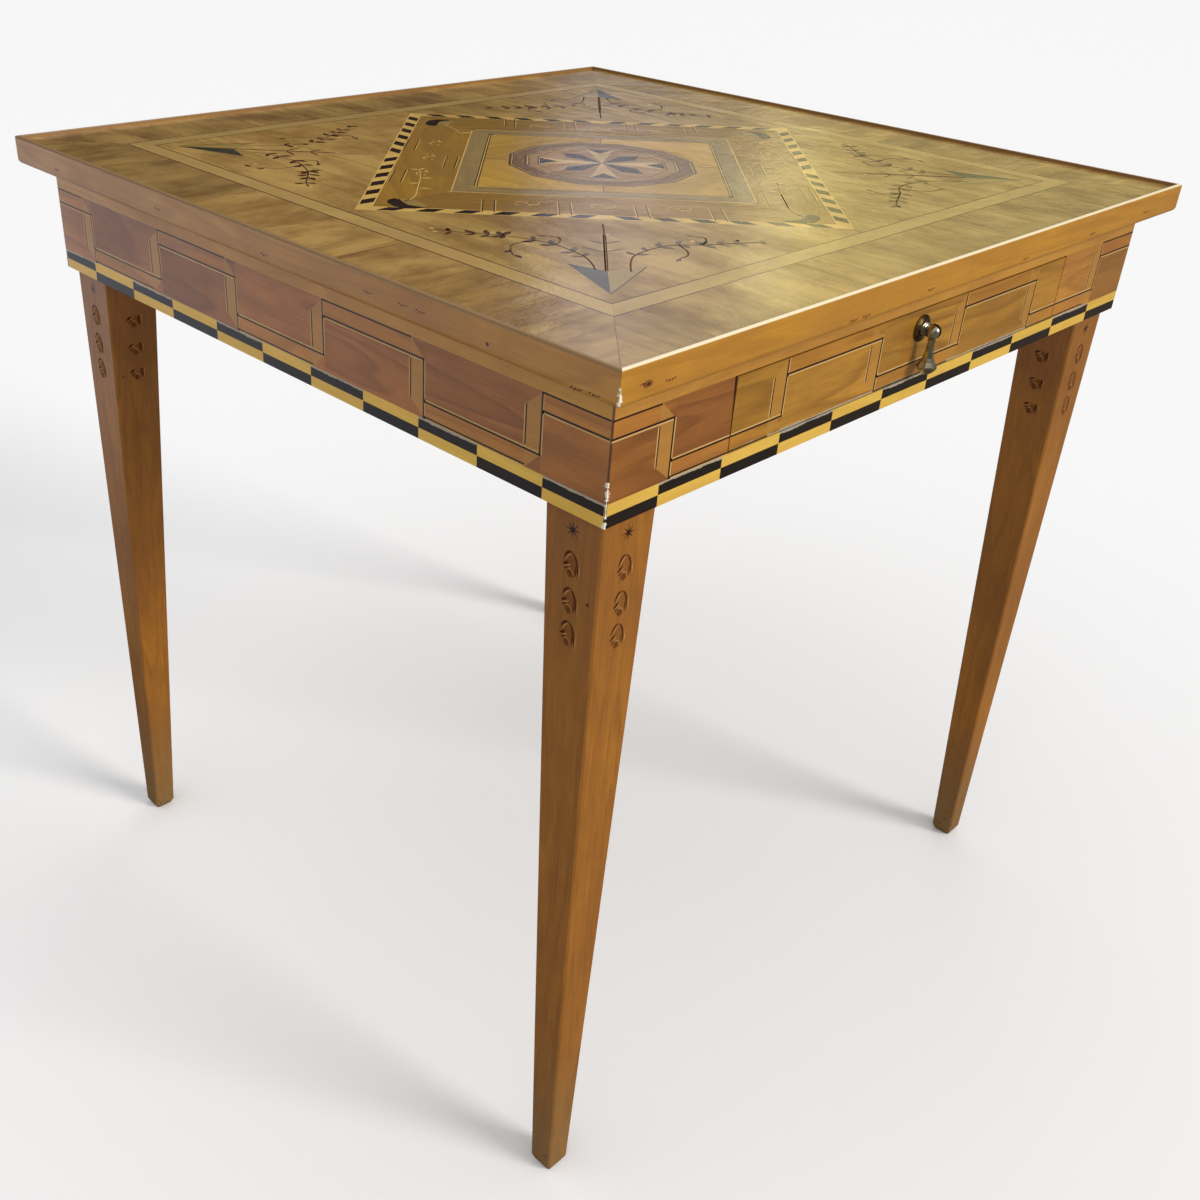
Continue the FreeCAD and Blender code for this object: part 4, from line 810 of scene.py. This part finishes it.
knot = {"place": (-363.8, 766), "chip": [(120.4, 735), (122.5, 735), (122.5, 698), (121.9, 710)]}
onIt = proud + 0.05  # for a slip that lies on another
knotRing = flatMotif("knotRing", [oval(0, 0, 4.6, 2.5, 14)] + brush(((-8, 0.6), (-5, 1.2), (-2, 0.8), 1.2)))
knotCore = flatMotif("knotCore", [oval(0.8, -0.2, 1.9, 1.1), oval(-2.4, -0.4, 0.8, 0.5)])
knotRow = onFace(edgeFaces["front"][0], *knot["place"])
coreRow = onFace(edgeFaces["front"][0], *knot["place"], lift=onIt)
motifs("edge_knot", knotRing, [knotRow], "knotWood")
motifs("edge_knot_core", knotCore, [coreRow], "darkPlum")
frontFrieze = upright(-364.5, -352.5, 0)
chipShape = flatMotif("chipShape", [knot["chip"]])
motifs("veneer_chip", chipShape, [onFace(frontFrieze, 0, 0)], "rosewood")

# Frieze: dark and light lines round every strip and post. A unit is drawn upright and every second one
# is upside down; x runs from left to right as each side is seen.

frieze = {
    "foot": 677.4, "height": 57.5, "strip": 13.5, "post": 15.5, "stripMitre": 14.5, "postMitre": 12.5,
    "units": 6, "opening": (122.5, 594.5), "drawer": (123.7, 593.3), "drawerGap": 1.2,
    # widths of the lines
    "topDark": 1.3, "underDark": 1.5, "postDark": 1.5, "innerDark": 1.2,
    "topLight": 0.9, "underLight": 1.2, "postLight": 1.1,
    # from the edge of the strip: how far the dark line reaches below it, and where those of the post stop
    "below": 0.4, "short": 2.6,
}
friezeSides = {
    "front": {**frontFrieze, "length": 729},
    "right": {**upright(364.5, -351, 90), "length": 702},
    "back": {**upright(364.5, 352.5, 180), "length": 729},
    "left": {**upright(-364.5, 351, -90), "length": 702},
}


def friezeLines(pitch, hung):
    top = frieze["height"]
    ledge = top - frieze["strip"]
    inside = pitch - frieze["post"]
    crest = top if hung else top - frieze["topLight"]
    under = ledge - frieze["below"]
    mitre = pitch - frieze["stripMitre"]
    beside = (frieze["postMitre"], ledge - frieze["short"])
    # dark beside the strip and the post, light beside the panel; a light line parts the lower strips from the
    # chequers. Left, right, lower and upper edge of each.
    return {
        "dark": ((0, mitre, crest - frieze["topDark"], crest), (0, pitch, under, under + frieze["underDark"]),
                 (pitch - frieze["postDark"], pitch, 0, ledge),
                 (inside, inside + frieze["innerDark"], *beside)),
        "light": ((0, pitch, under - frieze["underLight"], under),
                  (pitch, pitch + frieze["postLight"], 0, ledge),
                  (inside - frieze["postLight"], inside, *beside), (0, mitre, crest, top)),
    }


lineRows = {"frame": {"dark": [], "light": []}, "drawer": {"dark": [], "light": []}}
for name, side in friezeSides.items():
    pitch = side["length"] / frieze["units"]
    low = frieze["foot"]
    high = low + frieze["height"]
    windows = [("frame", 0, side["length"], low, high)]
    if name == "front":
        gap = frieze["drawerGap"]
        windows = [("frame", 0, frieze["opening"][0], low, high),
                   ("frame", frieze["opening"][1], side["length"], low, high),
                   ("drawer", *frieze["drawer"], low + gap, high - gap)]
    for index in range(frieze["units"] + 1):
        for tone, boxes in friezeLines(pitch, index % 2 == 0).items():
            for left, right, lower, upper in boxes:
                if index % 2:
                    lower, upper = frieze["height"] - upper, frieze["height"] - lower
                for body, leftEnd, rightEnd, bottom, crest in windows:
                    x0 = max(left + (index - 0.5) * pitch, leftEnd)
                    x1 = min(right + (index - 0.5) * pitch, rightEnd)
                    y0 = max(lower + low, bottom)
                    y1 = min(upper + low, crest)
                    if x1 > x0 and y1 > y0:
                        row = onFace(side, (x0 + x1) / 2, (y0 + y1) / 2, 0, (x1 - x0, y1 - y0))
                        lineRows[body][tone].append(row)
for body, tones in lineRows.items():
    motifs(body + "_frieze_lines_dark", block, tones["dark"], "rosewood", body)
    motifs(body + "_frieze_lines_light", block, tones["light"], "boxwoodLine", body)

# Legs: a star and three husks on every face

leg = {
    "corner": (358, 346), "foot": 23, "top": 53, "height": 660,
    "star": 644.5, "starRadii": (7.2, 1.7), "husks": (618.3, 590.2, 564),
}
starTips = [(radius, pi * i / 8) for i, radius in enumerate(leg["starRadii"] * 8)]
starShape = flatMotif("starShape", [[(radius * cos(a), radius * sin(a)) for radius, a in starTips]])
huskShape = flatMotif("huskShape", brush(
    ((-6.8, 2.4), (-4.4, 9.8), (0.5, 10), 2.1), ((0.3, 10.2), (6.6, 6.5), (6.4, -9), 1.8),
    ((-7.8, -1.8), (-4.6, -0.8), (-2.2, 2), 2.5), ((3.8, 1), (5, -3), (4.4, -8), 1.2),
    ((-6, -5), (-4.5, -3), (-1.5, -2.4), 1.5)))
huskLight = flatMotif("huskLight", brush(
    ((-5.4, 1.2), (-3.2, 8), (1, 8.2), 1), ((-6.4, -3), (-3, -1.8), (0.2, 0.4), 1),
    ((-3.8, -4), (0.8, -1.6), (3, -8), 1.1), ((7.8, 3), (8.4, -3), (7.3, -9), 0.9)))
huskFill = flatMotif("huskFill", [[
    (-6.4, -1), (-4.8, -6.5), (-1.5, -10), (2.8, -9.4), (5.8, -4), (6, 3), (3, 8.8), (-1, 9.6), (-5, 6)]])
huskBud = flatMotif("huskBud", [oval(-0.7, -6.9, 2.5, 3.1)])
starRows = []
huskRows = []
huskFills = []
tilt = atan2(leg["top"] - leg["foot"], leg["height"])
for sideX, sideY in corners:
    # turn about z of each face, and whether it is the upright outer face or the tapered inner one
    faces = ((0 if sideY < 0 else 180, True), (180 if sideY < 0 else 0, False),
             (90 if sideX > 0 else 270, True), (270 if sideX > 0 else 90, False))
    for turn, outer in faces:
        about = Euler((0, 0, radians(turn))).to_matrix()
        facing = about @ Vector((0, -1, 0))
        slope = about @ Euler((pi / 2 - (0 if outer else tilt), 0, 0)).to_matrix()
        for height in (leg["star"],) + leg["husks"]:
            half = (leg["foot"] + (leg["top"] - leg["foot"]) * height / leg["height"]) / 2
            middle = Vector((sideX * (leg["corner"][0] - half), sideY * (leg["corner"][1] - half), height))
            face = {"origin": (middle + facing * half) * mm, "turn": slope.to_euler()}
            if height == leg["star"]:
                starRows.append(onFace(face, 0, 0))
            else:
                huskFills.append(onFace(face, 0, 0))
                huskRows.append(onFace(face, 0, 0, lift=onIt))
motifs("leg_stars", starShape, starRows, "rosewood")
motifs("leg_husk_fills", huskFill, huskFills, "plum")
motifs("leg_husks", huskShape, huskRows, "darkPlum")
motifs("leg_husk_buds", huskBud, huskRows, "budPlum")
motifs("leg_husk_lines", huskLight, huskRows, "plumLine")
print("inlay done")

# Floor and light

studio = {
    "floor": "#F8F9FC", "bounce": "#D6D4CF", "reach": 14,
    "horizon": 0.03, "overhead": 0.83, "brightens": (0.33, 0.65),
    # what the polish mirrors of the floor: dim to the front and right, bright and cool to the back and left
    "mirror": {"dim": "#6E665C", "bright": "#E6EDFF", "way": (-0.5, 0.866, 0), "from": 0.8, "to": 2.6},
    # a wide soft panel on the left: way round from +X, height and half width in degrees
    "fill": {"round": 180, "rise": 20, "half": 45, "fade": 50, "strength": 0.27},
    # a soft window low behind the right side: where it fades in and out, in degrees
    "window": {"round": (16, 22, 42.5, 46), "rise": (7, 14, 28, 36), "strength": 0.95,
               # trees outside break it up into streaks: their width, and how dark and bright they are
               "streak": 2.2, "dark": 0.75, "bright": 1.2,
               # leaves to its right, open sky to its left
               "right": "#FFF3A6", "left": "#F3F0FA", "turnsFrom": 33, "turnsTo": 41,
               # a bright gap between the trees: where, half its width and how much brighter
               "gap": (33.8, 2.6, 0.65)},
}
floorMesh = bpy.data.meshes.new("floor")
reach = studio["reach"]
floorMesh.from_pydata([(-reach, -reach, 0), (reach, -reach, 0), (reach, reach, 0), (-reach, reach, 0)], [],
                      [(0, 1, 2, 3)])
floor = bpy.data.objects.new("floor", floorMesh)
scene.collection.objects.link(floor)
floorFinish, add = newMaterial("paleFloor")
# pale to the eye, and toned in reflections and as a bounce of light
rays = add("ShaderNodeLightPath").outputs
mirror = studio["mirror"]
spot = add("ShaderNodeTexCoord").outputs["Object"]
away = add("ShaderNodeVectorMath", (spot, mirror["way"]), operation="DOT_PRODUCT").outputs["Value"]
share = add("ShaderNodeMapRange", {"Value": away, "From Min": mirror["from"], "From Max": mirror["to"]})
dim, bright = linear(mirror["dim"]), linear(mirror["bright"])
bounce, pale = linear(studio["bounce"]), linear(studio["floor"])
mirrored = add("ShaderNodeMix", {0: share, 6: dim, 7: bright}, data_type="RGBA").outputs[2]
unseen = add("ShaderNodeMix", {0: rays["Is Glossy Ray"], 6: bounce, 7: mirrored}, data_type="RGBA").outputs[2]
colour = add("ShaderNodeMix", {0: rays["Is Camera Ray"], 6: unseen, 7: pale}, data_type="RGBA").outputs[2]
floorShader = add("ShaderNodeBsdfPrincipled", {"Base Color": colour, "Roughness": 0.9})
add("ShaderNodeOutputMaterial", {"Surface": floorShader})
floorMesh.materials.append(floorFinish)

world = bpy.data.worlds.new("studio")
scene.world = world
world.use_nodes = True
world.node_tree.nodes.clear()
add = partial(addNode, world.node_tree)
# a dome that is bright overhead, with the soft panel and the window
heading = add("ShaderNodeTexCoord").outputs["Generated"]
ways = add("ShaderNodeSeparateXYZ", (heading,)).outputs
lowest, highest = studio["brightens"]
level = add("ShaderNodeMapRange", {
    "Value": ways["Z"], "From Min": lowest, "From Max": highest, "To Min": studio["horizon"],
    "To Max": studio["overhead"]})
fill = studio["fill"]
fillWay = Euler((0, -radians(fill["rise"]), radians(fill["round"]))).to_matrix() @ Vector((1, 0, 0))
towards = add("ShaderNodeVectorMath", (heading, fillWay), operation="DOT_PRODUCT").outputs["Value"]
rim, core = [cos(radians(fill["half"] + side * fill["fade"] / 2)) for side in (1, -1)]
glow = add("ShaderNodeMapRange", {
    "Value": towards, "From Min": rim, "From Max": core, "To Max": fill["strength"]},
    interpolation_type="SMOOTHSTEP")
even = add("ShaderNodeMath", (level, glow), operation="ADD")
window = studio["window"]
turn = add("ShaderNodeMath", (ways["Y"], ways["X"]), operation="ARCTAN2")
rise = add("ShaderNodeMath", (ways["Z"],), operation="ARCSINE")
column = add("ShaderNodeMath", (turn, 1 / radians(window["streak"])), operation="MULTIPLY")
trees = add("ShaderNodeTexNoise", {"W": column, "Scale": 1, "Detail": 2}, noise_dimensions="1D")
pane = add("ShaderNodeMapRange", {
    "Value": trees, "From Min": 0.35, "From Max": 0.65, "To Min": window["dark"] * window["strength"],
    "To Max": window["bright"] * window["strength"]})
factors = []
for angle, (start, full, fading, end) in ((turn, window["round"]), (rise, window["rise"])):
    for low, high, first, last in ((start, full, 0, 1), (fading, end, 1, 0)):
        factors.append(add("ShaderNodeMapRange", {
            "Value": angle, "From Min": radians(low), "From Max": radians(high), "To Min": first,
            "To Max": last}, interpolation_type="SMOOTHSTEP"))
place, half, brighter = window["gap"]
aside = add("ShaderNodeMath", (turn, radians(place), radians(half)), operation="COMPARE")
factors.append(add("ShaderNodeMath", (aside, brighter, 1), operation="MULTIPLY_ADD"))
for factor in factors:
    pane = add("ShaderNodeMath", (pane, factor), operation="MULTIPLY")
leftward = add("ShaderNodeMapRange", {
    "Value": turn, "From Min": radians(window["turnsFrom"]), "From Max": radians(window["turnsTo"])})
right, left = linear(window["right"]), linear(window["left"])
tint = add("ShaderNodeMix", {0: leftward, 6: right, 7: left}, data_type="RGBA").outputs[2]
sky = add("ShaderNodeVectorMath", (pane, tint, even), operation="MULTIPLY_ADD")
dome = add("ShaderNodeBackground", {"Color": sky})
add("ShaderNodeOutputWorld", {"Surface": dome})

# one wide lamp far off to the right of the drawer, so that the floor is lit evenly
lamp = {"from": (0.9, -2.4, 1.15), "strength": 2.3, "width": 24, "colour": "#FFFBF4"}
light = bpy.data.lights.new("key", "SUN")
light.energy = lamp["strength"]
light.color = linear(lamp["colour"])[:3]
light.angle = radians(lamp["width"])
key = bpy.data.objects.new("key", light)
key.rotation_euler = (-Vector(lamp["from"])).to_track_quat("-Z", "Y").to_euler()
scene.collection.objects.link(key)
scene.view_settings.view_transform = "Standard"
print("floor and light set")
